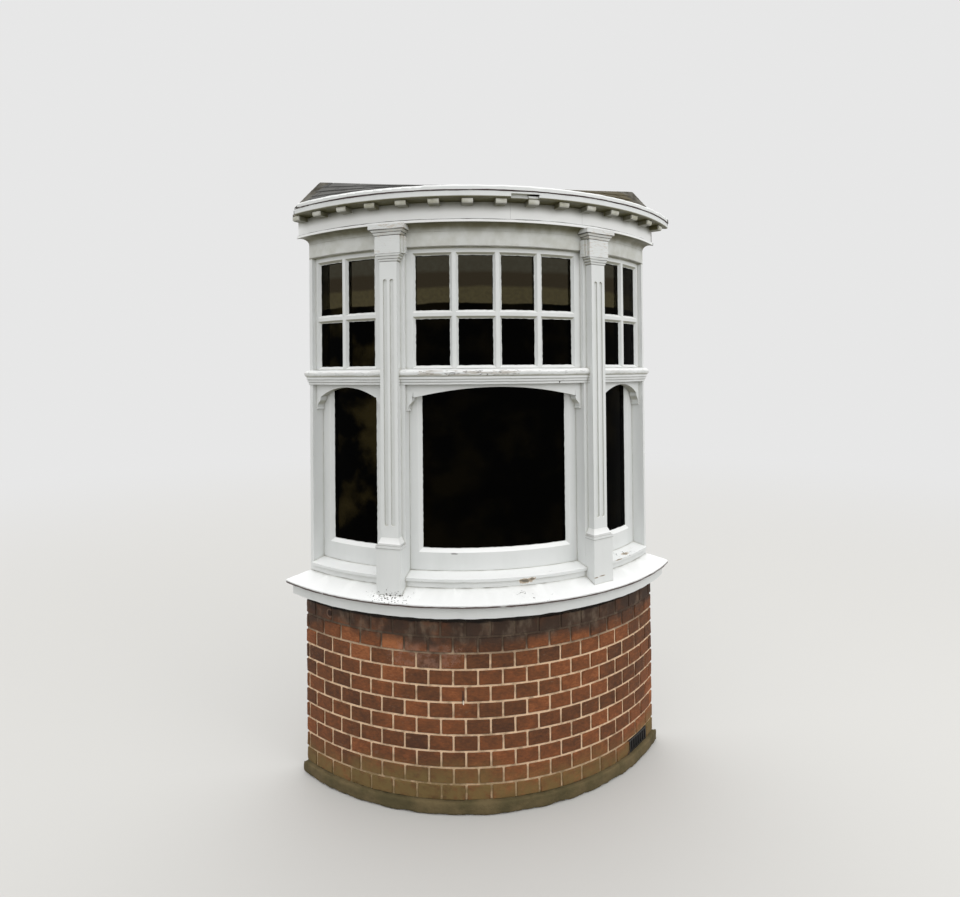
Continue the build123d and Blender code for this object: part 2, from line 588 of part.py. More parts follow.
for name, (start, end) in LIGHTS.items():
    with BuildPart() as subsill:
        ring([
            (FRAME_INNER, SILL_TOP),
            (FRAME_RADIUS, SILL_TOP),
            (FRAME_RADIUS, SILL_TOP + SUBSILL_FACE),
            (FRAME_RADIUS + SUBSILL_NOSE_PROJECTION, SILL_TOP + SUBSILL_FACE),
            (FRAME_RADIUS + SUBSILL_NOSE_PROJECTION, SUBSILL_NOSE_TOP),
            (LOWER_SASH_FRONT, SUBSILL_TOP),
            (FRAME_INNER, SUBSILL_TOP),
        ], start, end)
        for pilaster in pilasters:
            add(pilaster, mode=Mode.SUBTRACT)
    keep(subsill.part, f"subsill_{name}")

    lower_glass_front = LOWER_SASH_FRONT - PUTTY_DEPTH
    before, after = stile_angles(name, LOWER_STILE, LOWER_END_STILE, lower_glass_front)
    lower_top = TRANSOM_BOTTOM + LOWER_TOP_LAP
    glazed_sash(("lower", name), LOWER_SASH_FRONT, (start, end), SUBSILL_TOP, lower_top,
                [(start + before, end - after, SUBSILL_TOP + LOWER_BOTTOM_RAIL, lower_top - LOWER_TOP_RAIL)],
                LOWER_PUTTY_WIDTH)

    upper_glass_front = UPPER_SASH_FRONT - PUTTY_DEPTH
    before, after = stile_angles(name, UPPER_STILE, UPPER_END_STILE, upper_glass_front)
    columns = MIDDLE_PANES if name == "centre" else SIDE_PANES
    bar_angle = arc_angle(BAR_WIDTH, upper_glass_front)
    pane_angle = (end - start - before - after - (columns - 1) * bar_angle) / columns
    bottom = TRANSOM_TOP + UPPER_BOTTOM_RAIL
    rows = [(bottom, bottom + BAR_RISE - BAR_WIDTH / 2),
            (bottom + BAR_RISE + BAR_WIDTH / 2, HEAD_BOTTOM - UPPER_TOP_RAIL)]
    openings = []
    for column in range(columns):
        edge = start + before + column * (pane_angle + bar_angle)
        for low, high in rows:
            openings.append((edge, edge + pane_angle, low, high))
    glazed_sash(("upper", name), UPPER_SASH_FRONT, (start, end), TRANSOM_TOP, HEAD_BOTTOM, openings,
                UPPER_PUTTY_WIDTH)

    nose_radius = FRAME_RADIUS + TRANSOM_NOSE
    nose_bottom = TRANSOM_BOTTOM + TRANSOM_STEPS * TRANSOM_STEP_HEIGHT
    nose_top = TRANSOM_TOP - TRANSOM_FALL
    nose_round = (nose_top - nose_bottom) / 4
    steps = []
    for step in range(TRANSOM_STEPS):
        radius = FRAME_RADIUS + (step + 1) * TRANSOM_STEP_WIDTH
        level = TRANSOM_BOTTOM + step * TRANSOM_STEP_HEIGHT
        steps += [(radius, level), (radius, level + TRANSOM_STEP_HEIGHT)]
    nose_start = -FULL_ANGLE if name == "left" else start - MULLION_HALF
    nose_end = FULL_ANGLE if name == "right" else end + MULLION_HALF
    with BuildPart() as transom:
        box_ring(UPPER_SASH_BACK, FRAME_RADIUS, TRANSOM_BOTTOM, TRANSOM_TOP, start, end)
        with BuildSketch(radial_plane(nose_start)) as section:
            with BuildLine():
                Polyline((FRAME_RADIUS, TRANSOM_TOP), (FRAME_RADIUS, TRANSOM_BOTTOM), *steps,
                         (nose_radius - nose_round, nose_bottom))
                ThreePointArc((nose_radius - nose_round, nose_bottom),
                              (nose_radius, (nose_bottom + nose_top) / 2),
                              (nose_radius - nose_round, nose_top))
                Line((nose_radius - nose_round, nose_top), (FRAME_RADIUS, TRANSOM_TOP))
            make_face()
        revolve(section.sketch, axis=BOW_AXIS, revolution_arc=nose_end - nose_start)
        trim_at_wall()
        for pilaster in pilasters:
            add(pilaster, mode=Mode.SUBTRACT)
    keep(transom.part, f"transom_{name}")

    spring = TRANSOM_BOTTOM - ARCH_CROWN_DROP - ARCH_RISE
    half_span = UPPER_SASH_FRONT * sin(radians((end - start) / 2)) - HORN_WIDTH - HORN_LEDGE
    curve_top = spring - HORN_TOP_STEP
    curve_foot = curve_top - HORN_CURVE_HEIGHT
    horn_foot = curve_foot - HORN_FOOT_HEIGHT
    with BuildPart() as apron:
        for place, side in ((start, 1), (end, -1)):
            with BuildSketch(facing_plane(place, UPPER_SASH_BACK - OVERRUN)) as horn:
                with BuildLine():
                    Polyline((side * HORN_ANKLE_WIDTH, curve_foot), (side * HORN_FOOT_WIDTH, curve_foot),
                             (side * HORN_FOOT_WIDTH, horn_foot), (0, horn_foot), (0, spring),
                             (side * HORN_WIDTH, spring), (side * HORN_WIDTH, curve_top))
                    Bezier((side * HORN_WIDTH, curve_top),
                           (side * HORN_WIDTH, (curve_top + curve_foot) / 2),
                           (side * HORN_ANKLE_WIDTH, (curve_top + curve_foot) / 2),
                           (side * HORN_ANKLE_WIDTH, curve_foot))
                make_face()
            extrude(horn.sketch, amount=SASH_THICKNESS + 2 * OVERRUN)
        box_ring(UPPER_SASH_BACK, UPPER_SASH_FRONT, horn_foot, spring, start, end, Mode.INTERSECT)
        box_ring(UPPER_SASH_BACK, UPPER_SASH_FRONT, spring, TRANSOM_BOTTOM, start, end)
        with BuildSketch(facing_plane((start + end) / 2, UPPER_SASH_BACK / 2)) as arch:
            with BuildLine():
                ThreePointArc((-half_span, spring), (0, spring + ARCH_RISE), (half_span, spring))
                Line((half_span, spring), (-half_span, spring))
            make_face()
        extrude(arch.sketch, amount=UPPER_SASH_FRONT, mode=Mode.SUBTRACT)
    keep(apron.part, f"apron_{name}")

# Crown moulding, with a length of its lower edge and its left end broken away
LOST_TO = -wall_angle(CROWN_RADIUS) + arc_angle(LOST_END, CROWN_RADIUS)
LOST_PIECE_BACK = CROWN_RADIUS - LOST_PIECE_DEPTH
with BuildPart() as crown:
    ring([
        (FRIEZE_INNER, FRIEZE_TOP),
        (CROWN_FACE - CROWN_EASE, FRIEZE_TOP),
        (CROWN_FACE, FRIEZE_TOP + CROWN_EASE),
        (CROWN_FACE, CROWN_TOP),
        (FRIEZE_INNER, CROWN_TOP),
    ], -FULL_ANGLE, FULL_ANGLE)
    trim_at_wall()
    box_ring(LOST_PIECE_BACK, CROWN_RADIUS, FRIEZE_TOP - OVERRUN,
             FRIEZE_TOP + LOST_PIECE_HEIGHT, LOST_PIECE_START, LOST_PIECE_END, Mode.SUBTRACT)
    box_ring(CROWN_RADIUS - LOST_END_DEPTH, CROWN_RADIUS, FRIEZE_TOP - OVERRUN,
             CROWN_TOP + OVERRUN, -FULL_ANGLE, LOST_TO, Mode.SUBTRACT)
keep(crown.part, "crown_moulding")

# Blocks under the crown, one of them bared to its tongue where the crown's edge is lost
MODILLION_OUTER = FRIEZE_RADIUS + MODILLION_PROJECTION
MODILLION_BOTTOM = FRIEZE_TOP - MODILLION_HEIGHT
MODILLION_CURVE_TOP = FRIEZE_TOP - MODILLION_FASCIA
MODILLION_SOFFIT = MODILLION_OUTER - (MODILLION_HEIGHT - MODILLION_FASCIA)
MODILLION_REACH = wall_angle(FRIEZE_RADIUS) - arc_angle(MODILLION_END_GAP, FRIEZE_RADIUS)
with BuildPart() as modillions:
    for index in range(MODILLIONS):
        place = MODILLION_TURN + (2 * index / (MODILLIONS - 1) - 1) * MODILLION_REACH
        with BuildSketch(radial_plane(place)):
            with BuildLine():
                Polyline((MODILLION_SOFFIT, MODILLION_BOTTOM), (FRIEZE_RADIUS, MODILLION_BOTTOM),
                         (FRIEZE_RADIUS, FRIEZE_TOP), (MODILLION_OUTER, FRIEZE_TOP),
                         (MODILLION_OUTER, MODILLION_CURVE_TOP))
                TangentArc((MODILLION_OUTER, MODILLION_CURVE_TOP), (MODILLION_SOFFIT, MODILLION_BOTTOM),
                           tangent=(0, -1))
            make_face()
        extrude(amount=MODILLION_WIDTH / 2, both=True)
        if LOST_PIECE_START < place < LOST_PIECE_END:
            radial_block(place, MODILLION_WIDTH, LOST_PIECE_BACK, MODILLION_OUTER,
                         FRIEZE_TOP, FRIEZE_TOP + MODILLION_TONGUE)
    add(crown.part, mode=Mode.SUBTRACT)
keep(modillions.part, "modillions")

# Rolled capping strip along the crown's top edge, shorter where the crown's end is lost
STRIP_LOST_TO = -wall_angle(CROWN_RADIUS) + arc_angle(CAP_STRIP_LOST_END, CROWN_RADIUS)
STRIP_SHOULDER = CROWN_TOP + CAP_STRIP_HEIGHT - CAP_STRIP_WIDTH / 2
with BuildPart() as cap_strip:
    with BuildSketch(radial_plane(STRIP_LOST_TO)):
        with BuildLine():
            Polyline((CROWN_RADIUS, STRIP_SHOULDER), (CROWN_RADIUS, CROWN_TOP),
                     (CROWN_RADIUS - CAP_STRIP_WIDTH, CROWN_TOP),
                     (CROWN_RADIUS - CAP_STRIP_WIDTH, STRIP_SHOULDER))
            ThreePointArc((CROWN_RADIUS - CAP_STRIP_WIDTH, STRIP_SHOULDER),
                          (CROWN_RADIUS - CAP_STRIP_WIDTH / 2, CROWN_TOP + CAP_STRIP_HEIGHT),
                          (CROWN_RADIUS, STRIP_SHOULDER))
        make_face()
    revolve(axis=BOW_AXIS, revolution_arc=FULL_ANGLE - STRIP_LOST_TO)
    trim_at_wall()
keep(cap_strip.part, "capping_strip")

# Roof skin that rises from the curved eave to a level line on the wall
EAVE_HALF = half_chord(ROOF_RADIUS)
RIDGE_HALF = EAVE_HALF - ROOF_HIP_RUN


def eave_arc(level):
    """Arc of the roof's eave at this height."""
    return ThreePointArc((-EAVE_HALF, FACE_Y, level), (0, CENTRE_Y - ROOF_RADIUS, level),
                         (EAVE_HALF, FACE_Y, level))


def roof_wedge(drop):
    """Closed wedge under the ruled roof surface, lowered by a drop."""
    base = eave_arc(CROWN_TOP - drop)
    low = eave_arc(ROOF_EAVE - drop)
    high = Line((-RIDGE_HALF, FACE_Y, ROOF_RIDGE - drop), (RIDGE_HALF, FACE_Y, ROOF_RIDGE - drop))
    skin = Face.make_surface_from_curves(low.edge(), high.edge())
    rim = Face.make_surface_from_curves(base.edge(), low.edge())
    floor = Face(Wire([base.edge(), Line(base @ 1, base @ 0).edge()]))
    corners = [base @ 0, base @ 1, low @ 1, high @ 1, high @ 0, low @ 0]
    back = Face(Wire.make_polygon(corners, close=True))
    return Solid(Shell([skin, rim, floor, back]))


with BuildPart() as roof:
    add(roof_wedge(0))
    add(roof_wedge(ROOF_THICKNESS), mode=Mode.SUBTRACT)
keep(roof.part, "roof")

# Ceiling board inside the head
CEILING_HALF = half_chord(FRAME_INNER)
with BuildPart() as ceiling:
    with BuildSketch(Plane.XY.offset(HEAD_TOP - CEILING_THICKNESS)):
        with BuildLine():
            ThreePointArc((-CEILING_HALF, FACE_Y), (0, CENTRE_Y - FRAME_INNER), (CEILING_HALF, FACE_Y))
            Polyline((CEILING_HALF, FACE_Y), (CEILING_HALF, BACK_Y), (-CEILING_HALF, BACK_Y),
                     (-CEILING_HALF, FACE_Y))
        make_face()
    extrude(amount=CEILING_THICKNESS)
keep(ceiling.part, "ceiling")
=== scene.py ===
"""Looks of the curved bay window: brickwork, slates, worn paint, glass and studio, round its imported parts.

Metres and degrees. Z is up and -Y is the street. Curved pieces turn about the bow's upright axis, which
stands at x = 0, y = BOW_Y. A bearing of 0 is the middle of the bay, and bearings grow towards +X.
"""
import logging
import random
from dataclasses import dataclass, field
from enum import Enum
from functools import cached_property, reduce
from math import acos, atan2, cos, degrees, pi, radians, sin, sqrt
from typing import Callable, Sequence

import bpy
from mathutils import Matrix, Vector


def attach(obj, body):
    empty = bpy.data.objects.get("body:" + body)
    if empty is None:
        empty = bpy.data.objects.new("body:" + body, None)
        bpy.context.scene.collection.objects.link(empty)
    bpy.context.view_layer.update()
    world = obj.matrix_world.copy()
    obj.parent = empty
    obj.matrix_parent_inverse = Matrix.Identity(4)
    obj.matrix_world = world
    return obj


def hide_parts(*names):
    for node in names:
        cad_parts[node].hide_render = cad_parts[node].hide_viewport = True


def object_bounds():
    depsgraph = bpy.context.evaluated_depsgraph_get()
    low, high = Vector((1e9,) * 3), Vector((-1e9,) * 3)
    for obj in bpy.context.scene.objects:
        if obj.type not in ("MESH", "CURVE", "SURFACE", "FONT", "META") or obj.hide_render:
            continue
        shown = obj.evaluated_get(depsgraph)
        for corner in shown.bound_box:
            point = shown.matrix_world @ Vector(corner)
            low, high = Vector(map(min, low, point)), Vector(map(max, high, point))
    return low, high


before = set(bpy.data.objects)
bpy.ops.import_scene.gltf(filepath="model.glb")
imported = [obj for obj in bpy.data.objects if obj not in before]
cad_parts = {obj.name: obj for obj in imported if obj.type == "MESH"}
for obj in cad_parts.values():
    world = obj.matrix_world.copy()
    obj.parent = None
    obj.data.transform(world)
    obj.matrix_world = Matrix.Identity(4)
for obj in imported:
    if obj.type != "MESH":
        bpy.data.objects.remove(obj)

CAD_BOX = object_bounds()
LOG = logging.getLogger("bay window")
logging.basicConfig(level=logging.INFO, format="%(message)s")

Colour = tuple[float, float, float]
Size = tuple[float, float, float]
Edge = tuple[float, float]
Piece = bpy.types.Object
Material = bpy.types.Material
Node = bpy.types.Node
Socket = bpy.types.NodeSocket
Value = float | Socket
Tint = Colour | Socket

BOW_Y = 1.047
WALL_Y = 0.235
BACK_Y = 0.295
BRICK_FACE = 1.237
BRICK_BACK = 1.022
BOW_CENTRE = Vector((0.0, BOW_Y, 0.0))
FULL_ANGLE = 54.0

# Soft edges that paint's wearing, its dirt and painted shade keep to, as distances from the bow's axis
ARCHITRAVE_FACE: Edge = (1.205, 1.212)
FRIEZE_FACE: Edge = (1.236, 1.240)
NOSE_INNER: Edge = (1.2365, 1.2395)
STEPS_OUTER: Edge = (1.2435, 1.2460)
NOSE_OUTER: Edge = (1.2475, 1.2490)
BLOCK_BACK: Edge = (1.268, 1.270)
SILL_NOSE: Edge = (1.3060, 1.3080)
BLOCK_FRONT: Edge = (1.314, 1.322)

# The same as heights, from the sill to the crown
SILL_LIP: Edge = (0.9895, 0.9915)
STEPS_FOOT: Edge = (1.9940, 1.9955)
STEPS_TOP: Edge = (2.0370, 2.0380)
NOSE_FOOT: Edge = (2.030, 2.038)
NOSE_TOP: Edge = (2.076, 2.080)
RECESS: Edge = (2.6440, 2.6515)
COVE: Edge = (2.700, 2.754)
LIP_FOOT: Edge = (2.7575, 2.7585)
LIP_FACE: Edge = (2.757, 2.760)
BOARD_FOOT: Edge = (2.771, 2.772)
FRIEZE_RISE: Edge = (2.800, 2.852)
BLOCK_SHADE: Edge = (2.822, 2.832)
BLOCK_FOOT: Edge = (2.8275, 2.8295)
CROWN_FOOT: Edge = (2.850, 2.852)
FRIEZE_TOP: Edge = (2.850, 2.853)
BOARD_TOP: Edge = (2.852, 2.853)
SOFFIT: Edge = (2.8531, 2.8536)
CROWN_EDGE: Edge = (2.8570, 2.8595)


class Side(Enum):
    """The two ends of the bay."""

    LEFT = -1
    RIGHT = 1


class Facing(Enum):
    """Which wearing, dirt and painted shade a coat of paint has got."""

    SHELTERED = "sheltered"
    WEATHERED = "weathered"
    CARVED = "carved"
    EAVES = "eaves"


def srgb(red: int, green: int, blue: int) -> Colour:
    """Linear colour of an 8-bit screen colour.

    Args:
        red: Red, 0 to 255.
        green: Green, 0 to 255.
        blue: Blue, 0 to 255.

    Returns:
        The same colour as linear values.
    """
    def linear(value: int) -> float:
        """One channel made linear."""
        share = value / 255
        return share / 12.92 if share <= 0.04045 else ((share + 0.055) / 1.055) ** 2.4

    return linear(red), linear(green), linear(blue)


def on_bow(radius: float, bearing: float, height: float) -> Vector:
    """Point at a radius, bearing and height about the bow's axis."""
    turn = radians(bearing)
    return Vector((radius * sin(turn), BOW_Y - radius * cos(turn), height))


def turned(bearing: float) -> Matrix:
    """Matrix that turns things from the middle of the bay to a bearing."""
    to_axis = Matrix.Translation(BOW_CENTRE)
    return to_axis @ Matrix.Rotation(radians(bearing), 4, "Z") @ Matrix.Translation(-BOW_CENTRE)


def wall_bearing(radius: float) -> float:
    """Bearing at which a circle of this radius meets the wall's face."""
    return degrees(acos((BOW_Y - WALL_Y) / radius))


def wall_reach(radius: float) -> float:
    """How far from the middle a circle of this radius meets the wall's face."""
    return sqrt(radius**2 - (BOW_Y - WALL_Y) ** 2)


# Modelling moves


def only(*pieces: Piece) -> None:
    """Leave just these pieces selected, the first one active.

    Args:
        pieces: What is selected, or nothing to clear the selection.
    """
    if bpy.context.object and bpy.context.object.mode != "OBJECT":
        done()
    bpy.ops.object.select_all(action="DESELECT")
    for piece in pieces:
        piece.select_set(True)
    bpy.context.view_layer.objects.active = pieces[0] if pieces else None


def edit(piece: Piece, faces: Callable[[bpy.types.MeshPolygon], bool] | None = None) -> None:
    """Open a piece in edit mode with some faces selected.

    Args:
        piece: The mesh to open.
        faces: Says which faces are selected; None selects all.
    """
    only(piece)
    bpy.ops.object.mode_set(mode="EDIT")
    bpy.ops.mesh.select_mode(type="FACE")
    bpy.ops.mesh.select_all(action="SELECT" if faces is None else "DESELECT")
    if faces is not None:
        done()
        for polygon in piece.data.polygons:
            polygon.select = faces(polygon)
        bpy.ops.object.mode_set(mode="EDIT")


def done() -> None:
    """Leave edit mode."""
    bpy.ops.object.mode_set(mode="OBJECT")


def settle(piece: Piece) -> None:
    """Write a piece's place, turn and size into its mesh."""
    only(piece)
    bpy.ops.object.transform_apply(location=True, rotation=True, scale=True)


def cube(name: str, centre: Sequence[float], size: Sequence[float]) -> Piece:
    """Box to start a piece from, with its place and size in its mesh.

    Args:
        name: Name of the new piece.
        centre: Where its middle is.
        size: Its three lengths.

    Returns:
        The new piece.
    """
    only()
    bpy.ops.mesh.primitive_cube_add(size=1.0, location=centre, scale=size)
    piece = bpy.context.object
    piece.name = name
    settle(piece)
    return piece


def modify(piece: Piece, kind: str, **settings: object) -> None:
    """Add one modifier to a piece and apply it.

    Args:
        piece: The mesh to change.
        kind: Modifier type.
        settings: Values set on the modifier.
    """
    only(piece)
    modifier = piece.modifiers.new(kind.title(), kind)
    for key, value in settings.items():
        setattr(modifier, key, value)
    bpy.ops.object.modifier_apply(modifier=modifier.name)


def join(name: str, pieces: Sequence[Piece]) -> Piece:
    """Make one piece of several.

    Args:
        name: Name of the joined piece.
        pieces: The meshes to join.

    Returns:
        The joined piece.
    """
    only(*pieces)
    bpy.ops.object.join()
    bpy.context.object.name = name
    return bpy.context.object


def cast(node: str, name: str) -> Piece:
    """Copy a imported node's mesh and close its loose triangles into clean faces.

    Args:
        node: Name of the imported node.
        name: Name of the new piece.

    Returns:
        The new piece.
    """
    only()
    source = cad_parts[node]
    piece = bpy.data.objects.new(name, source.data.copy())
    piece.matrix_world = source.matrix_world
    bpy.context.scene.collection.objects.link(piece)
    piece.data.materials.clear()
    edit(piece)
    bpy.ops.mesh.remove_doubles(threshold=0.00002)
    bpy.ops.mesh.dissolve_limited(angle_limit=radians(0.4))
    done()
    return piece


def cut_at_wall(piece: Piece) -> None:
    """Cut off what stands behind the wall's face, and close the cut.

    Args:
        piece: The mesh to cut.
    """
    edit(piece)
    bpy.ops.mesh.bisect(plane_co=(0, WALL_Y, 0), plane_no=(0, 1, 0), use_fill=True, clear_outer=True)
    done()


def ease(piece: Piece, width: float, segments: int = 2) -> None:
    """Round a piece's sharp edges."""
    modify(piece, "BEVEL", width=width, segments=segments, limit_method="ANGLE", angle_limit=radians(35))


def ripple(piece: Piece, strength: float, size: float, middle: float = 0.5) -> None:
    """Move a piece's surface in and out by a soft cloud pattern.

    Args:
        piece: The mesh to change.
        strength: How far the pattern moves the surface in all.
        size: Size of the pattern.
        middle: Grey of the pattern at which the surface stays where it is.
    """
    pattern = bpy.data.textures.new("ripple", "CLOUDS")
    pattern.noise_scale = size
    modify(piece, "DISPLACE", texture=pattern, strength=strength, mid_level=middle, texture_coords="LOCAL")


def slice_up(piece: Piece, step: float) -> None:
    """Cut a long curved piece across at every few degrees, so that it can wander along its length.

    Args:
        piece: The mesh to cut.
        step: Degrees between two cuts.
    """
    edit(piece)
    steps = int(FULL_ANGLE / step)
    for number in range(-steps, steps + 1):
        turn = radians(number * step)
        bpy.ops.mesh.select_all(action="SELECT")
        bpy.ops.mesh.bisect(plane_co=BOW_CENTRE, plane_no=(cos(turn), sin(turn), 0))
    done()


def strip(name: str, cells: tuple[int, int], place: Callable[[float, float], Vector], thickness: float) -> Piece:
    """Shape a thin sheet from a grid.

    Args:
        name: Name of the new piece.
        cells: Number of cells along and across.
        place: Gives a point for shares along and across, both from 0 to 1.
        thickness: How thick the sheet is, outwards.

    Returns:
        The sheet.
    """
    only()
    bpy.ops.mesh.primitive_grid_add(x_subdivisions=cells[0], y_subdivisions=cells[1], size=2)
    sheet = bpy.context.object
    sheet.name = name
    for vertex in sheet.data.vertices:
        vertex.co = place((vertex.co.x + 1) / 2, (vertex.co.y + 1) / 2)
    sheet.data.update()
    middle = sheet.data.polygons[len(sheet.data.polygons) // 2]
    outwards = middle.center - BOW_CENTRE
    outwards.z = max(middle.normal.z, 0) * 10
    if middle.normal.dot(outwards) < 0:
        edit(sheet)
        bpy.ops.mesh.flip_normals()
        done()
    modify(sheet, "SOLIDIFY", thickness=thickness, offset=1.0)
    return sheet


def smooth(piece: Piece, angle: float = 35) -> None:
    """Shade a piece smooth but for its corners, its wide faces staying flat.

    Args:
        piece: The mesh to shade.
        angle: Degrees from which a corner stays sharp.
    """
    only(piece)
    bpy.ops.object.shade_smooth_by_angle(angle=radians(angle))
    modify(piece, "WEIGHTED_NORMAL", keep_sharp=True)


def tint(piece: Piece, shade: float) -> None:
    """Give a whole piece the shade that its finish reads.

    Args:
        piece: The mesh to tint.
        shade: From 0, dark, to 1, pale.
    """
    layer = piece.data.attributes.new("tone", "FLOAT", "POINT")
    for item in layer.data:
        item.value = shade


# Finishes


class Wiring:
    """A node tree while it is being wired."""

    def __init__(self, tree: bpy.types.NodeTree) -> None:
        """Take the tree to wire in."""
        self.tree = tree

    def feed(self, socket: Socket, value: object) -> None:
        """Link a socket to another, or set its value.

        Args:
            socket: The socket to feed.
            value: Another socket, a number, a vector or a colour.
        """
        if isinstance(value, Socket):
            self.tree.links.new(value, socket)
        elif isinstance(value, tuple) and socket.type == "RGBA":
            socket.default_value = (*value, 1.0)
        else:
            socket.default_value = value

    def node(self, kind: str, inputs: dict[int | str, object] | None = None, **settings: object) -> Node:
        """Add a node.

        Args:
            kind: Its type.
            inputs: What feeds its sockets, by number or name.
            settings: Values set on the node itself.

        Returns:
            The node.
        """
        node = self.tree.nodes.new(kind)
        for key, value in settings.items():
            setattr(node, key, value)
        for key, value in (inputs or {}).items():
            self.feed(node.inputs[key], value)
        return node

    def maths(self, operation: str, *values: Value) -> Socket:
        """Work out a number from up to three."""
        return self.node("ShaderNodeMath", dict(enumerate(values)), operation=operation).outputs[0]

    def vector(self, operation: str, *values: object) -> Node:
        """Work out a vector, or its length, from one or two."""
        return self.node("ShaderNodeVectorMath", dict(enumerate(values)), operation=operation)

    def part(self, vector: Socket, axis: str) -> Socket:
        """One of a vector's X, Y and Z."""
        return self.node("ShaderNodeSeparateXYZ", {0: vector}).outputs[axis]

    def mix(self, factor: Value, first: Tint, second: Tint) -> Socket:
        """Mix two colours."""
        return self.node("ShaderNodeMix", {0: factor, 6: first, 7: second}, data_type="RGBA").outputs[2]

    def seen(self) -> Socket:
        """Say whether a ray comes from the camera, straight, mirrored or through glass.

        Returns:
            1 for such a ray, else 0.
        """
        path = self.node("ShaderNodeLightPath").outputs
        unbent = self.maths("MAXIMUM", path["Is Camera Ray"], path["Is Glossy Ray"])
        return self.maths("MAXIMUM", unbent, path["Is Transmission Ray"])


class Shader(Wiring):
    """A material while it is being wired, with the colour that is laid so far."""

    def __init__(self, name: str, colour: Colour = (0.0, 0.0, 0.0)) -> None:
        """Start a material.

        Args:
            name: Its name.
            colour: Colour that all others are laid on.
        """
        self.material = bpy.data.materials.new(name)
        self.material.use_nodes = True
        super().__init__(self.material.node_tree)
        self.body = self.tree.nodes["Principled BSDF"]
        self.place = self.node("ShaderNodeTexCoord").outputs["Object"]
        self.colour: Tint = colour

    @cached_property
    def height(self) -> Socket:
        """Height above the ground."""
        return self.part(self.place, "Z")

    @cached_property
    def radius(self) -> Socket:
        """Distance from the bow's axis."""
        level = self.vector("MULTIPLY", self.way_from(BOW_CENTRE), (1, 1, 0)).outputs[0]
        return self.vector("LENGTH", level).outputs["Value"]

    @cached_property
    def shade(self) -> Socket:
        """The shade that a piece was tinted with."""
        return self.node("ShaderNodeAttribute", attribute_name="tone").outputs["Fac"]

    def way_from(self, centre: Vector) -> Socket:
        """Way from a point, as a vector."""
        return self.vector("SUBTRACT", self.place, tuple(centre)).outputs[0]

    def distance(self, centre: Vector, size: Size = (1, 1, 1)) -> Socket:
        """Distance from a point, 1 being the skin of an egg of this size."""
        scaled = self.vector("DIVIDE", self.way_from(centre), size).outputs[0]
        return self.vector("LENGTH", scaled).outputs["Value"]

    def plus(self, base: Value, extra: Value, share: Value) -> Socket:
        """Add a share of one number to another."""
        return self.maths("MULTIPLY_ADD", extra, share, base)

    def gap(self, first: Value, second: Value) -> Socket:
        """How far apart two numbers are."""
        return self.maths("ABSOLUTE", self.maths("SUBTRACT", first, second))

    def all_of(self, *factors: Value) -> Socket:
        """Multiply factors."""
        return reduce(lambda total, factor: self.maths("MULTIPLY", total, factor), factors)

    def band(self, value: Value, low: float, high: float, start: float = 0.0, end: float = 1.0) -> Socket:
        """Slide a number from start to end while it goes from low to high."""
        inputs = dict(enumerate((value, low, high, start, end)))
        return self.node("ShaderNodeMapRange", inputs, interpolation_type="SMOOTHSTEP").outputs[0]

    def past(self, value: Value, edge: Edge) -> Socket:
        """Past a soft edge 1, before it 0."""
        return self.band(value, *edge)

    def before(self, value: Value, edge: Edge) -> Socket:
        """Before a soft edge 1, past it 0."""
        return self.band(value, *edge, 1.0, 0.0)

    def between(self, value: Value, first: Edge, last: Edge) -> Socket:
        """Between two soft edges 1, elsewhere 0."""
        return self.all_of(self.past(value, first), self.before(value, last))

    def noise(self, scale: float, detail: float, stretch: Size = (1, 1, 1), roughness: float = 0.55) -> Socket:
        """Cloudy pattern from 0 to 1 over the object's own coordinates.

        Args:
            scale: Clouds to the metre, more or less.
            detail: How often finer clouds are added.
            stretch: Scale of each direction, small values drawing the clouds out.
            roughness: How strong the finer clouds are.

        Returns:
            The pattern.
        """
        where = self.vector("MULTIPLY", self.place, stretch).outputs[0]
        inputs = {"Vector": where, "Scale": scale, "Detail": detail, "Roughness": roughness}
        return self.node("ShaderNodeTexNoise", inputs).outputs["Fac"]

    def sway(self, scale: float, detail: float, stretch: Size = (1, 1, 1), roughness: float = 0.55) -> Socket:
        """Cloudy pattern from -0.5 to 0.5."""
        return self.maths("SUBTRACT", self.noise(scale, detail, stretch, roughness), 0.5)

    def clouds(self, scale: float, detail: float, low: float, high: float, start: float = 0.0, end: float = 1.0,
               stretch: Size = (1, 1, 1)) -> Socket:
        """Cloudy pattern that slides from start to end between two of its greys."""
        return self.band(self.noise(scale, detail, stretch), low, high, start, end)

    def hairlines(self, scale: float, width: float, stretch: Size = (1, 1, 1)) -> Socket:
        """Thin wandering lines, where cracks run."""
        return self.before(self.gap(self.noise(scale, 3, stretch), 0.5), (width * 0.5, width))

    def looking(self, low: float, high: float, start: float = 0.0, end: float = 1.0) -> Socket:
        """Slide from start to end while a face leans from low to high, 1 being a level top."""
        normal = self.node("ShaderNodeNewGeometry").outputs["True Normal"]
        return self.band(self.part(normal, "Z"), low, high, start, end)

    def near(self, centre: Vector, size: Size, ragged: float) -> Socket:
        """Ragged spot: 1 inside an egg of this size about a point, 0 outside."""
        wobble = self.plus(self.distance(centre, size), self.noise(150, 3), ragged * 2)
        return self.before(wobble, (0.9 + ragged, 1.1 + ragged))

    def crease(self, reach: float) -> Socket:
        """Corners within a reach: 1 deep in them, 0 on open faces."""
        node = self.node("ShaderNodeAmbientOcclusion", {"Distance": reach}, samples=6)
        return self.before(node.outputs["AO"], (0.3, 0.9))

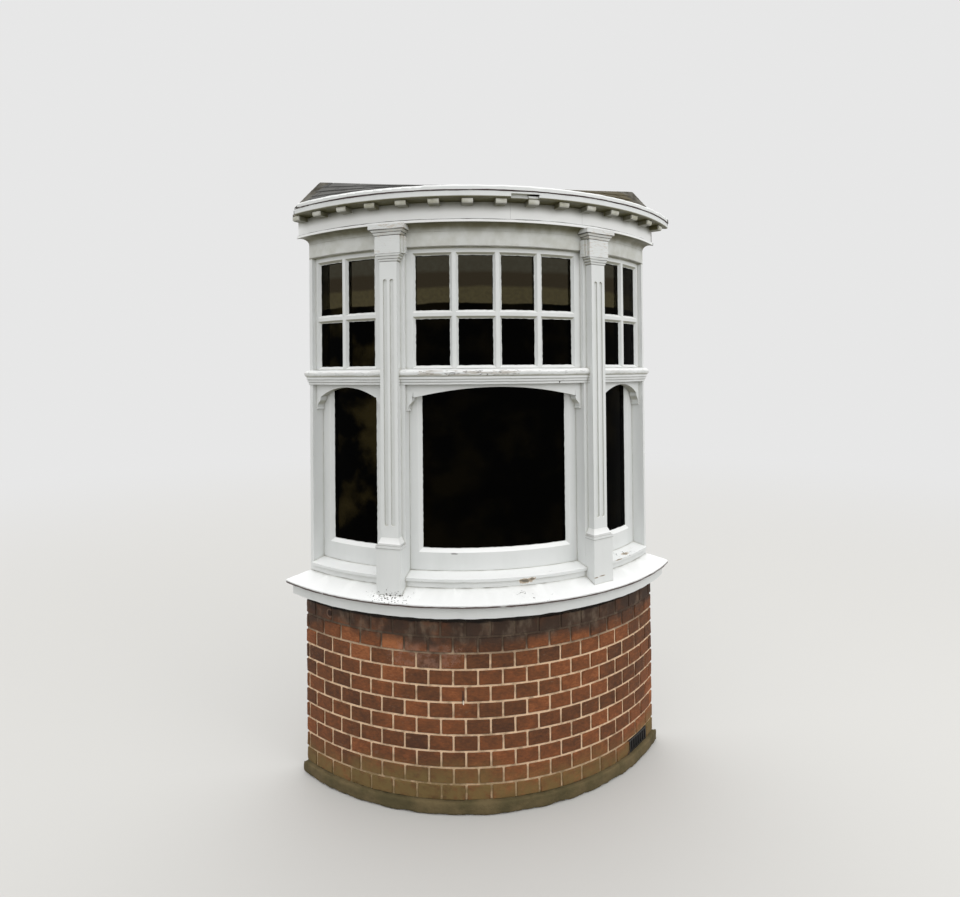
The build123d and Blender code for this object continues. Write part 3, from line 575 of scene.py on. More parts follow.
    def ramp(self, value: Value, stops: Sequence[tuple[float, Colour]]) -> Socket:
        """Pick a colour along a ramp.

        Args:
            value: Where on the ramp.
            stops: Its places and their colours.

        Returns:
            The colour.
        """
        node = self.node("ShaderNodeValToRGB", {0: value})
        marks = node.color_ramp.elements
        while len(marks) < len(stops):
            marks.new(0.5)
        for mark, (place, colour) in zip(marks, stops):
            mark.position = place
            mark.color = (*colour, 1.0)
        return node.outputs[0]

    def lay(self, tone: Tint, *cover: Value) -> None:
        """Lay a tone over the colour so far, as far as all its covers reach together."""
        self.colour = self.mix(self.all_of(*cover), self.colour, tone)

    def bump(self, scale: float, detail: float, distance: float, strength: float,
             stretch: Size = (1, 1, 1)) -> None:
        """Raise and lower the surface by a cloudy pattern, over the bumps there are.

        Args:
            scale: Scale of the pattern.
            detail: Its detail.
            distance: How high it rises.
            strength: How much of it shows.
            stretch: Its scale in each direction.
        """
        node = self.node("ShaderNodeBump", {"Strength": strength, "Distance": distance,
                                            "Height": self.noise(scale, detail, stretch)})
        normal = self.body.inputs["Normal"]
        if normal.is_linked:
            self.feed(node.inputs["Normal"], normal.links[0].from_socket)
        self.feed(normal, node.outputs[0])

    def finish(self, roughness: Value) -> Material:
        """Feed the colour and a roughness to the material.

        Args:
            roughness: 0 for a mirror, 1 for chalk.

        Returns:
            The material.
        """
        self.feed(self.body.inputs["Base Color"], self.colour)
        self.feed(self.body.inputs["Roughness"], roughness)
        return self.material


@dataclass(frozen=True)
class Gloss:
    """Old white gloss paint on timber."""

    facing: Facing
    coat: Colour = srgb(217, 219, 218)
    dull: Colour = srgb(202, 205, 203)
    washed_and_lit: Colour = srgb(241, 242, 241)
    grime_and_shade: Colour = srgb(79, 75, 42)
    dust_and_shade: Colour = srgb(142, 139, 112)
    wood: Colour = srgb(124, 116, 102)
    primer: Colour = srgb(184, 168, 148)
    undercoat: Colour = srgb(188, 183, 175)
    stain_and_shadow: Colour = srgb(70, 54, 51)
    crack_and_shade: Colour = srgb(62, 57, 50)
    rot_and_shade: Colour = srgb(24, 21, 18)
    transom_foot: float = 1.997
    half_step: float = 0.0065
    board_joints: tuple[float, ...] = (3.2, 20.6)

    def make(self) -> Material:
        """Build the paint.

        Returns:
            The material.
        """
        dirt_and_shade, wear_and_shade = {
            Facing.SHELTERED: (0.35, (self.recess,)),
            Facing.WEATHERED: (0.55, (self.bands, self.chips, self.mould, self.splits, self.flakes, self.steps)),
            Facing.CARVED: (0.7, (self.lifted,)),
            Facing.EAVES: (0.2, (self.under_crown, self.under_lip, self.joints, self.rotten)),
        }[self.facing]
        shader = Shader(f"white gloss {self.facing.value}", self.coat)
        streaks = shader.noise(4, 6, (2.0, 2.0, 0.6))
        shader.lay(self.dull, shader.band(streaks, 0.4, 0.8, 0.0, 0.5))
        # Painted highlight: faces that look upwards are painted paler.
        shader.lay(self.washed_and_lit, shader.looking(0.10, 0.45))
        # Painted shade: faces that look downwards are darkened.
        shader.lay(self.dust_and_shade, shader.looking(-0.80, -0.30, 0.7, 0.0))
        # Painted shade, with some dirt, in corners and creases, found by ambient occlusion.
        shader.lay(self.dust_and_shade, shader.crease(0.016), shader.clouds(18, 4, 0.2, 0.6, 0.5, 1.0), dirt_and_shade)
        shader.lay(self.crack_and_shade, shader.clouds(240, 2, 0.73, 0.77), shader.clouds(5, 3, 0.5, 0.62), dirt_and_shade)
        for overlay in wear_and_shade:
            overlay(shader)
        shader.bump(38, 4, 0.0016, 0.5, (1.0, 1.0, 0.35))
        shader.bump(220, 3, 0.0004, 0.5)
        return shader.finish(shader.band(streaks, 0.3, 0.8, 0.34, 0.55))

    def recess(self, shader: Shader) -> None:
        """Paint shade with some dirt in the recess over the upper sashes, and a scuff on a lower rail."""
        # Painted shade under the head's edge, on the top rails of the upper sashes.
        shader.lay(self.dust_and_shade, shader.past(shader.height, RECESS), shader.clouds(9, 3, 0.3, 0.6, 0.4, 0.75))
        shader.lay(self.crack_and_shade, shader.near(on_bow(1.160, -9.8, 1.181), (0.016, 0.05, 0.0045), 0.8), 0.6)

    def lifted(self, shader: Shader) -> None:
        """Show primer in the lifted paint of a capital, and painted shade with some dirt in its quirks.

        Args:
            shader: The paint being wired.
        """
        self.quirks(shader, (2.7335, 2.7205, 2.7065), 0.85)
        shader.lay(self.primer, shader.hairlines(22, 0.030, (0.6, 0.6, 4.0)), shader.clouds(11, 3, 0.40, 0.60), 0.55)
        shader.bump(60, 4, 0.003, 0.6, (0.3, 0.3, 2.0))

    def bands(self, shader: Shader) -> None:
        """Paint shade, with some dirt, into the quirks of a pilaster's bands and pedestal."""
        self.quirks(shader, (2.6210, 2.6085, 2.5960, 2.5845), 0.75)
        self.quirks(shader, (1.2285, 1.2405, 1.2475), 0.4)

    def quirks(self, shader: Shader, heights: Sequence[float], depth: float) -> None:
        """Paint the shade, with some dirt, that sits in the quirks between small mouldings.

        Args:
            shader: The paint being wired.
            heights: Where the quirks run.
            depth: How dark they are, up to 1.
        """
        sag = shader.plus(shader.height, shader.sway(16, 3), 0.005)
        for height in heights:
            line = shader.before(shader.gap(sag, height), (0.0012, 0.0026))
            # Each quirk gets a painted shade line.
            shader.lay(self.crack_and_shade, line, shader.clouds(12, 3, 0.3, 0.5, 0.5, 1.0), depth)

    def under_crown(self, shader: Shader) -> None:
        """Paint light on the frieze's board, and lay green dirt with painted shade under the crown and dusty painted
        shade on its blocks.

        Args:
            shader: The paint being wired.
        """
        level, radius, cloud = shader.height, shader.radius, shader.noise(14, 4)
        # Painted light: the frieze's board is painted paler to make up for the crown's shade.
        shader.lay(self.washed_and_lit, shader.between(level, LIP_FACE, FRIEZE_TOP))
        outside = shader.past(radius, FRIEZE_FACE)
        soiled_and_shaded = shader.band(cloud, 0.25, 0.7, 0.85, 1.0)
        cove_dirt_and_shade = shader.band(level, *FRIEZE_RISE, 0.0, 0.85)
        block_dirt_and_shade = shader.past(level, BLOCK_FOOT)
        rise = shader.plus(cove_dirt_and_shade, shader.past(radius, BLOCK_BACK), shader.maths("SUBTRACT", block_dirt_and_shade, cove_dirt_and_shade))
        # Green dirt with painted shade: up the frieze under the crown, on the blocks' sides and soffit, and along the
        # crown's lower edge.
        shader.lay(self.grime_and_shade, rise, shader.before(level, SOFFIT), outside, shader.before(radius, BLOCK_FRONT), soiled_and_shaded)
        shader.lay(self.grime_and_shade, shader.between(level, CROWN_FOOT, CROWN_EDGE), outside, soiled_and_shaded)
        # Dusty painted shade on the upper part of the blocks' fronts, under the crown.
        shader.lay(self.dust_and_shade, shader.between(level, BLOCK_SHADE, CROWN_FOOT), shader.past(radius, BLOCK_FRONT),
                   shader.band(cloud, 0.3, 0.7, 0.5, 0.9))

    def under_lip(self, shader: Shader) -> None:
        """Lay dirt with painted shade, dusty and green, in the cove under the frieze's lip, and a painted shade line
        under the head.

        Args:
            shader: The paint being wired.
        """
        cloud = shader.noise(14, 4)
        below = shader.all_of(shader.before(shader.height, LIP_FOOT), shader.past(shader.radius, ARCHITRAVE_FACE))
        # Dirt with painted shade in the cove, darkest just under the lip.
        shader.lay(self.dust_and_shade, below, shader.band(cloud, 0.3, 0.7, 0.20, 0.44))
        fall = shader.maths("POWER", shader.past(shader.height, COVE), 1.3)
        shader.lay(self.grime_and_shade, fall, below, shader.band(cloud, 0.25, 0.7, 0.72, 0.95))
        # A painted shade line under the head, over the upper sashes.
        self.quirks(shader, (2.6550,), 0.55)

    def joints(self, shader: Shader) -> None:
        """Draw thin open joints over the lip and between the frieze's boards, and a joint under the capping strip
        darkened by painted shadow.

        Args:
            shader: The paint being wired.
        """
        sag = shader.plus(shader.height, shader.noise(7, 3), 0.006)
        swell = shader.clouds(5, 3, 0.35, 0.65, -0.0006, 0.0010)
        # The line under the capping strip is a joint darkened with painted shadow.
        for height, half, tone in ((2.7748, 0.0012, self.crack_and_shade), (2.8880, 0.0022, self.stain_and_shadow)):
            gap = shader.maths("SUBTRACT", shader.gap(sag, height), swell)
            shader.lay(tone, shader.before(gap, (half, half + 0.0012)), shader.clouds(9, 2, 0.28, 0.40))
        board = shader.between(shader.height, BOARD_FOOT, BOARD_TOP)
        for bearing in self.board_joints:
            across = (cos(radians(bearing)), sin(radians(bearing)), 0)
            side = shader.vector("DOT_PRODUCT", shader.way_from(BOW_CENTRE), across).outputs["Value"]
            shader.lay(self.crack_and_shade, shader.before(shader.maths("ABSOLUTE", side), (0.0008, 0.002)), board, 0.2)

    def rotten(self, shader: Shader) -> None:
        """Darken the cornice's two ends and where its edge broke off, with rotted wood and painted shade in their
        hollows, and a painted shade spot at the head's right end.

        Args:
            shader: The paint being wired.
        """
        # Several of these dark spots are painted shade: in the hollows at the cornice's ends and broken edge, and under
        # the head's right end.
        for centre, size, tone in (
            (on_bow(1.292, -50.6, 2.872), (0.045, 0.045, 0.030), self.wood),
            (on_bow(1.270, -51.5, 2.862), (0.040, 0.040, 0.020), self.rot_and_shade),
            (on_bow(1.268, 50.2, 2.762), (0.012, 0.012, 0.012), self.rot_and_shade),
            (on_bow(1.262, 49.8, 2.800), (0.009, 0.009, 0.046), self.crack_and_shade),
            (on_bow(1.221, 21.7, 2.655), (0.013, 0.020, 0.004), self.rot_and_shade),
            (on_bow(1.338, 52.0, 2.890), (0.012, 0.012, 0.020), self.crack_and_shade),
            (on_bow(1.314, 7.6, 2.8715), (0.034, 0.030, 0.0035), self.rot_and_shade),
        ):
            shader.lay(tone, shader.near(centre, size, 0.4))

    def chips(self, shader: Shader) -> None:
        """Bare the wood where paint has come off the sill and its bead, round it the primer.

        Args:
            shader: The paint being wired.
        """
        for centre, size in (
            (on_bow(1.226, 6.3, 1.0620), (0.026, 0.03, 0.0100)),
            (on_bow(1.228, 7.8, 1.0680), (0.014, 0.03, 0.0080)),
            (on_bow(1.284, 22.8, 1.0440), (0.010, 0.02, 0.0022)),
            (on_bow(1.282, 24.6, 1.0470), (0.013, 0.02, 0.0022)),
            (on_bow(1.232, 33.0, 1.0800), (0.020, 0.02, 0.0020)),
            (on_bow(1.228, 37.5, 1.0880), (0.030, 0.02, 0.0022)),
            (on_bow(1.226, 42.5, 1.0920), (0.030, 0.02, 0.0020)),
        ):
            rim = tuple(1.4 * length for length in size)
            shader.lay(self.primer, shader.near(centre, rim, 0.7))
            shader.lay(self.wood, shader.near(centre, size, 0.7))

    def mould(self, shader: Shader) -> None:
        """Speckle the paint with mould, each patch from its own grey of the pattern up.

        Args:
            shader: The paint being wired.
        """
        for centre, size, least in (
            (on_bow(1.292, -23.3, 1.008), (0.100, 0.07, 0.024), 0.51),
            (on_bow(1.285, 5.2, 1.012), (0.040, 0.05, 0.022), 0.62),
            (on_bow(1.235, -16.5, 1.070), (0.025, 0.04, 0.014), 0.60),
            (on_bow(1.240, 15.2, 2.004), (0.018, 0.04, 0.010), 0.48),
        ):
            thinned = shader.plus(shader.noise(110, 3), shader.distance(centre, size), -0.12)
            shader.lay(self.crack_and_shade, shader.band(thinned, least, least + 0.03))

    def splits(self, shader: Shader) -> None:
        """Craze the paint on the sill's nose and top.

        Args:
            shader: The paint being wired.
        """
        lines = shader.all_of(shader.hairlines(15, 0.007), shader.clouds(32, 3, 0.46, 0.52))
        for centre, size in (
            (on_bow(1.290, 5.4, 1.010), (0.045, 0.05, 0.040)),
            (on_bow(1.300, 9.8, 1.005), (0.040, 0.05, 0.030)),
            (on_bow(1.284, 23.6, 1.046), (0.030, 0.03, 0.010)),
            (on_bow(1.230, 37.5, 1.088), (0.090, 0.06, 0.012)),
            (on_bow(1.240, 12.0, 1.092), (0.050, 0.05, 0.006)),
        ):
            shader.lay(self.crack_and_shade, shader.near(centre, size, 0.5), lines)

    def flakes(self, shader: Shader) -> None:
        """Peel and crack the paint along the transoms' noses, most of all in the middle.

        Args:
            shader: The paint being wired.
        """
        level, radius = shader.height, shader.radius
        nose = shader.all_of(shader.between(radius, NOSE_INNER, NOSE_OUTER), shader.between(level, NOSE_FOOT, NOSE_TOP))
        middle = shader.near(on_bow(1.243, -6.0, 2.052), (0.25, 0.15, 0.08), 0.4)
        spread = shader.all_of(nose, shader.plus(0.25, middle, 0.75))
        peeling = shader.noise(24, 6, (0.45, 0.45, 3.5))
        shader.lay(self.undercoat, spread, shader.band(peeling, 0.52, 0.56), 0.85)
        shader.lay(self.wood, spread, shader.band(peeling, 0.66, 0.68), 0.8)
        shader.lay(self.crack_and_shade, spread, shader.hairlines(24, 0.024, (0.45, 0.45, 3.0)), shader.clouds(9, 3, 0.38, 0.50))

    def steps(self, shader: Shader) -> None:
        """Paint shade into the corners under the transoms' steps, and leave staining on the lip of the sill.

        Args:
            shader: The paint being wired.
        """
        level, radius = shader.height, shader.radius
        # Painted shade lines in the corners under each of the transoms' steps.
        step = shader.maths("PINGPONG", shader.maths("SUBTRACT", level, self.transom_foot), self.half_step)
        shader.lay(self.crack_and_shade, shader.band(step, 0.0008, 0.0024, 0.45, 0.0),
                   shader.between(level, STEPS_FOOT, STEPS_TOP), shader.before(radius, STEPS_OUTER))
        wavering = shader.plus(level, shader.noise(20, 4), 0.006)
        shader.lay(self.stain_and_shadow, shader.before(wavering, SILL_LIP), shader.past(radius, SILL_NOSE),
                   shader.clouds(16, 4, 0.26, 0.40, 0.5, 1.0))


@dataclass(frozen=True)
class Walling:
    """What has stained bricks and mortar alike, and a painted shadow under the sill."""

    least_soot: float
    soot_runs_down: float
    soot: Colour = srgb(57, 42, 32)
    lime: Colour = srgb(106, 92, 77)
    sill_shadow: Colour = srgb(20, 15, 12)
    algae: Colour = srgb(115, 97, 55)
    rust: Colour = srgb(52, 38, 32)
    nail: Colour = srgb(226, 216, 200)

    def stain_and_shadow(self, shader: Shader) -> None:
        """Lay soot and lime under the sill, a painted shadow right under it, a nail and its rust, and green at the
        foot.

        Args:
            shader: The finish being wired.
        """
        level, down = shader.height, self.soot_runs_down
        smear = shader.mix(shader.clouds(15, 5, 0.48, 0.70, 0.0, 0.85, (1, 1, 0.5)), self.soot, self.lime)
        wander = shader.plus(level, shader.sway(5, 4), 0.16)
        shader.lay(smear, shader.band(wander, 0.758 - down, 0.818 - down / 2),
                   shader.clouds(8, 5, 0.30, 0.55, self.least_soot, 0.96))
        # Painted shadow along the top of the brickwork, under the sill's nose.
        ragged = shader.plus(level, shader.noise(24, 4), 0.024)
        shader.lay(self.sill_shadow, shader.band(ragged, 0.890, 0.900, 0.0, 0.92))
        damp = shader.plus(level, shader.sway(2.6, 4), 0.30)
        shader.lay(self.algae, shader.band(damp, 0.10, 0.25, 0.80, 0.0), shader.clouds(30, 5, 0.30, 0.55, 0.45, 1.0))
        shader.lay(self.rust, shader.near(on_bow(BRICK_FACE, -7.9, 0.533), (0.005, 0.012, 0.030), 0.4), 0.8)
        shader.lay(self.nail, shader.near(on_bow(BRICK_FACE, -7.8, 0.512), (0.0035, 0.012, 0.010), 0.3))


@dataclass(frozen=True)
class BurntClay(Walling):
    """Mixed red and brown facing bricks, stained above, with a painted shadow under the sill and painted shade in a
    small hole, and mossy below.
    """

    least_soot: float = 0.55
    soot_runs_down: float = 0.0
    dark: Colour = srgb(74, 45, 27)
    brown: Colour = srgb(100, 60, 33)
    red: Colour = srgb(125, 72, 39)
    orange: Colour = srgb(160, 98, 58)
    bloom: Colour = srgb(146, 118, 96)
    washed_and_lit: Colour = srgb(156, 118, 101)
    hole_shade: Colour = srgb(40, 25, 19)
    hole_rim: Colour = srgb(128, 102, 86)

    def make(self) -> Material:
        """Build the brick finish.

        Returns:
            The material.
        """
        shader = Shader("burnt clay")
        drift = shader.plus(shader.shade, shader.sway(1.7, 2), 0.9)
        cloudy = shader.plus(drift, shader.sway(20, 6, (1, 1, 1.6), 0.62), 0.75)
        veined = shader.plus(cloudy, shader.sway(58, 4, (1, 1, 2.0), 0.6), 0.75)
        shader.colour = shader.ramp(
            veined, ((0.1, self.dark), (0.38, self.brown), (0.62, self.red), (0.95, self.orange)))
        shader.lay(self.dark, shader.clouds(70, 4, 0.60, 0.66, 0.0, 0.45, (1, 1, 3.2)))
        shader.lay(self.bloom, shader.clouds(34, 5, 0.60, 0.70, stretch=(1, 1, 2.4)),
                   shader.clouds(4, 3, 0.45, 0.6), 0.25)
        shader.lay(self.washed_and_lit, shader.near(on_bow(BRICK_FACE, -16.5, 0.728), (0.18, 0.12, 0.062), 0.8),
                   shader.clouds(30, 5, 0.38, 0.62, 0.05, 0.42))
        self.stain_and_shadow(shader)
        # A small hole in a brick: a paler rim round a dark disc painted for the shade inside it.
        ring = shader.distance(on_bow(BRICK_FACE, -40.6, 0.855))
        shader.lay(self.hole_rim, shader.band(shader.gap(ring, 0.019), 0.001, 0.005, 0.55, 0.0))
        shader.lay(self.hole_shade, shader.band(ring, 0.009, 0.016, 0.85, 0.0))
        shader.bump(120, 5, 0.003, 0.6)
        return shader.finish(0.9)


@dataclass(frozen=True)
class Pointing(Walling):
    """Buff mortar, grey under the sill and green at the foot."""

    least_soot: float = 0.90
    soot_runs_down: float = 0.07
    buff: Colour = srgb(228, 196, 162)
    dirty: Colour = srgb(150, 124, 98)

    def make(self) -> Material:
        """Build the mortar.

        Returns:
            The material.
        """
        shader = Shader("pointing mortar", self.buff)
        shader.lay(self.dirty, shader.clouds(26, 5, 0.42, 0.72, 0.0, 0.8))
        self.stain_and_shadow(shader)
        shader.bump(180, 4, 0.002, 0.7)
        return shader.finish(0.95)


@dataclass(frozen=True)
class Plain:
    """A finish of two clouded colours with a fine grain."""

    name: str
    first: Colour
    second: Colour
    scale: float
    roughness: float
    grain: float

    def make(self) -> Material:
        """Build the finish.

        Returns:
            The material.
        """
        shader = Shader(self.name, self.first)
        shader.lay(self.second, shader.clouds(self.scale, 5, 0.35, 0.65))
        shader.bump(self.scale * 9, 4, self.grain, 0.6)
        return shader.finish(self.roughness)


INSIDE_PAINT = Plain("inside paint", srgb(214, 212, 204), srgb(200, 198, 190), scale=5, roughness=0.5, grain=0.0005)
BLACK_IRON = Plain("black iron", srgb(20, 20, 21), srgb(30, 28, 27), scale=20, roughness=0.55, grain=0.001)
# Near-black bedding: painted shade in the gap under the sill.
SHADED_SILL_BEDDING = Plain("sill bedding", srgb(44, 39, 35), srgb(30, 27, 25), scale=18, roughness=0.95, grain=0.004)
MOSSY_RENDER = Plain("mossy render", srgb(101, 87, 58), srgb(80, 71, 44), scale=9, roughness=0.95, grain=0.006)
HIP_MORTAR = Plain("hip mortar", srgb(108, 105, 97), srgb(70, 66, 57), scale=22, roughness=0.95, grain=0.004)


@dataclass(frozen=True)
class Slate:
    """Grey slates, mossy towards the right end."""

    pale: Colour = srgb(102, 101, 98)
    dark: Colour = srgb(78, 78, 77)
    moss: Colour = srgb(88, 79, 54)

    def make(self) -> Material:
        """Build the slate.

        Returns:
            The material.
        """
        shader = Shader("weathered slate")
        value = shader.plus(shader.shade, shader.sway(9, 5), 0.8)
        shader.colour = shader.ramp(value, ((0.1, self.dark), (0.9, self.pale)))
        side = shader.plus(shader.part(shader.place, "X"), shader.noise(7, 4), 0.7)
        shader.lay(self.moss, shader.band(side, 0.35, 0.8, 0.0, 0.9))
        shader.bump(60, 4, 0.002, 0.6, (1, 1, 4))
        return shader.finish(0.8)


@dataclass(frozen=True)
class Glazing:
    """Old glass, tinted near black as painted shade for the dark room behind it, with painted reflections: hazy brown
    on the left, and the street in its upper rows.
    """

    name: str
    reflection_from: float | None = None
    reflection_height: float = 0.24
    ior: float = 1.05
    dark: Colour = (0.0008, 0.0008, 0.0007)
    left_reflection: Colour = srgb(40, 34, 17)
    olive: Colour = srgb(76, 70, 49)
    brown: Colour = srgb(52, 46, 35)
    grey: Colour = srgb(66, 64, 54)

    def make(self) -> Material:
        """Build the glass.

        Returns:
            The material.
        """
        # The near-black tint stands in for the shade of the room behind.
        shader = Shader(self.name, self.dark)
        shader.body.inputs["Transmission Weight"].default_value = 1.0
        shader.body.inputs["IOR"].default_value = self.ior
        # Painted reflection: hazy brown towards the left.
        leftward = shader.band(shader.part(shader.place, "X"), -0.60, -0.40, 1.0, 0.15)
        shader.lay(self.left_reflection, leftward, shader.clouds(5, 4, 0.42, 0.66))
        if self.reflection_from is not None:
            # Painted reflection of the street in the upper rows: olive, then brown, then grey going up.
            level = shader.plus(shader.height, shader.noise(6, 3), 0.03)
            street = shader.ramp(shader.band(level, self.reflection_from, self.reflection_from + self.reflection_height), (
                (0.0, self.olive), (0.22, self.olive), (0.30, self.brown), (0.66, self.brown), (0.76, self.grey)))
            street = shader.mix(shader.clouds(75, 4, 0.3, 0.7, 0.0, 0.5), street, self.brown)
            shader.lay(street, shader.band(level, self.reflection_from - 0.004, self.reflection_from + 0.004))
        shader.bump(4, 2, 0.002, 0.25)
        return shader.finish(0.02)


# Brickwork


@dataclass
class Brickwork:
    """Header-bonded curved brickwork: tapered bricks on a recessed bed of mortar."""

    foot: float = 0.060
    course: float = 0.076
    courses: int = 11
    per_course: int = 22
    joint: float = 0.010
    pitch: float = 5.434
    first_joint: float = -45.34
    closers: tuple[tuple[float, ...], ...] = ((0.154,), (0.102, 0.205))
    mortar_recess: float = 0.0034
    worn_edge: float = 0.0030
    dented: float = 0.0011
    lean: float = 0.5
    out_of_line: Edge = (-0.0012, 0.0006)
    mean_shade: float = 0.48
    shade_spread: float = 0.11
    variants: int = 6
    vent_bearing: Edge = (35.26, 44.34)
    vent_room: float = 1.5
    vent_joint: float = 0.2
    vent_height: float = 0.033
    vent_pocket: Size = (0.198, 0.15, 0.072)
    seed: random.Random = field(default_factory=lambda: random.Random(11))

    def masters(self) -> list[Piece]:
        """Model the brick in a few variants.

        Returns:
            The variants, each at the middle of the bay and at the height of 0.
        """
        outer = radians(self.pitch) * BRICK_FACE - self.joint
        inner = radians(self.pitch) * BRICK_BACK - self.joint
        middle = (0, BOW_Y - (BRICK_FACE + BRICK_BACK) / 2, 0)
        made = []
        for number in range(self.variants):
            brick = cube(f"brick {number}", middle, (outer, BRICK_FACE - BRICK_BACK, self.course - self.joint))
            edit(brick, lambda face: face.normal.y > 0.9)
            bpy.ops.transform.resize(value=(inner / outer, 1, 1), center_override=middle)
            self.wear_edges()
            edit(brick, lambda face: face.normal.y < -0.9)
            bpy.ops.mesh.subdivide(number_cuts=2)
            bpy.ops.transform.vertex_random(offset=self.dented, uniform=0.4, seed=number)
            done()
            made.append(brick)
        return made

    def wear_edges(self) -> None:
        """Take the sharp edges off the brick that is open in edit mode, and close it."""
        bpy.ops.mesh.select_all(action="SELECT")
        bpy.ops.mesh.bevel(offset=self.worn_edge, segments=1, affect="EDGES")
        done()

    def lay(self) -> Piece:
        """Lay all the bricks and cut them at the wall.

        Returns:
            The brickwork as one piece.
        """
        masters = self.masters()
        meshes: list[Piece] = []
        limit = wall_bearing(BRICK_FACE) + 0.6 * self.pitch
        vent_left, vent_right = self.vent_bearing
        for row in range(self.courses):
            height = self.foot + (row + 0.5) * self.course - self.joint / 2
            start = self.first_joint - self.pitch * (1.0 if row % 2 == 0 else 1.5)
            for number in range(self.per_course):
                bearing = start + (number + 0.5) * self.pitch
                if abs(bearing) > limit:
                    continue
                if row == 0 and vent_left - self.vent_room < bearing < vent_right + self.vent_room:
                    continue
                if row == 0 and bearing > vent_right:
                    bearing = vent_right + 0.5 * self.pitch + self.vent_joint
                meshes.append(self.copy(masters, bearing, height))
            meshes += self.ends(row, height)
        for master in masters:
            bpy.data.objects.remove(master)
        bricks = join("bricks", meshes)
        ripple(bricks, strength=0.0016, size=0.03, middle=0.4)
        smooth(bricks, 40)
        return bricks

    def copy(self, masters: list[Piece], bearing: float, height: float) -> Piece:
        """Place one brick on the curve.

        Args:
            masters: The variants to choose from.
            bearing: Its middle.
            height: Its middle.

        Returns:
            The new brick, cut at the wall's face.
        """
        brick = bpy.data.objects.new("brick", self.seed.choice(masters).data.copy())
        bpy.context.scene.collection.objects.link(brick)
        flip = Matrix.Rotation(pi, 4, "Y") if self.seed.random() < 0.5 else Matrix.Identity(4)
        lean = Matrix.Rotation(radians(self.seed.uniform(-self.lean, self.lean)), 4, "Y")
        place = Matrix.Translation((0, self.seed.uniform(*self.out_of_line), height))
        brick.data.transform(turned(bearing) @ place @ lean @ flip)
        tint(brick, self.shade())
        if abs(bearing) > wall_bearing(BRICK_FACE) - self.pitch * 3:
            cut_at_wall(brick)
        return brick

    def shade(self) -> float:
        """Draw a brick's shade, from dark to orange."""
        return min(max(self.seed.gauss(self.mean_shade, self.shade_spread), 0.02), 0.98)

    def ends(self, row: int, height: float) -> list[Piece]:
        """Bricks of one course that stand in the house wall.

        Args:
            row: Number of the course.
            height: Middle of the course.

        Returns:
            The new bricks.
        """
        near = wall_reach(BRICK_BACK)
        cuts = [near, *(near + run for run in self.closers[row % 2]), wall_reach(BRICK_FACE)]
        made = []
        for side in Side:
            for start, end in zip(cuts, cuts[1:]):
                centre = (side.value * (start + end) / 2, (WALL_Y + BACK_Y) / 2, height)
                size = (end - start - self.joint * 0.8, BACK_Y - WALL_Y - 0.002, self.course - self.joint)
                block = cube("brick", centre, size)
                edit(block)
                self.wear_edges()
                tint(block, self.shade())
                made.append(block)
        return made

    def bed(self) -> Piece:
        """Model the mortar that the bricks lie in.

        Returns:
            The mortar as one piece, with room for the air brick.
        """
        tall = self.course * self.courses
        only()
        bpy.ops.mesh.primitive_cylinder_add(
            vertices=256, radius=BRICK_FACE - self.mortar_recess, depth=tall, end_fill_type="NOTHING",
            location=(0, BOW_Y, self.foot + tall / 2))
        tube = bpy.context.object
        settle(tube)
        modify(tube, "SOLIDIFY", thickness=BRICK_FACE - BRICK_BACK - 2 * self.mortar_recess, offset=-1.0)
        cut_at_wall(tube)
        pocket = cube("pocket", (0, BOW_Y - BRICK_FACE, self.foot + self.vent_height), self.vent_pocket)
        pocket.data.transform(turned(sum(self.vent_bearing) / 2))
        modify(tube, "BOOLEAN", object=pocket, operation="DIFFERENCE", solver="EXACT")
        bpy.data.objects.remove(pocket)
        near, far = wall_reach(BRICK_BACK), wall_reach(BRICK_FACE)
        size = (far - near - 0.015, BACK_Y - WALL_Y - 0.007, tall)
        blocks = [
            cube("end", (side.value * (near + far) / 2, (WALL_Y + BACK_Y) / 2, self.foot + tall / 2), size)
            for side in Side
        ]
        mortar = join("mortar_bed", [tube, *blocks])
        smooth(mortar)
        return mortar

    def build(self) -> None:
        bricks = self.lay()
        mortar = self.bed()
        bricks.data.materials.append(BurntClay().make())
        mortar.data.materials.append(Pointing().make())
        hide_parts("brick_base_left", "brick_base_centre_left", "brick_base_centre_right", "brick_base_right")
        report(bricks, mortar)


# Roof


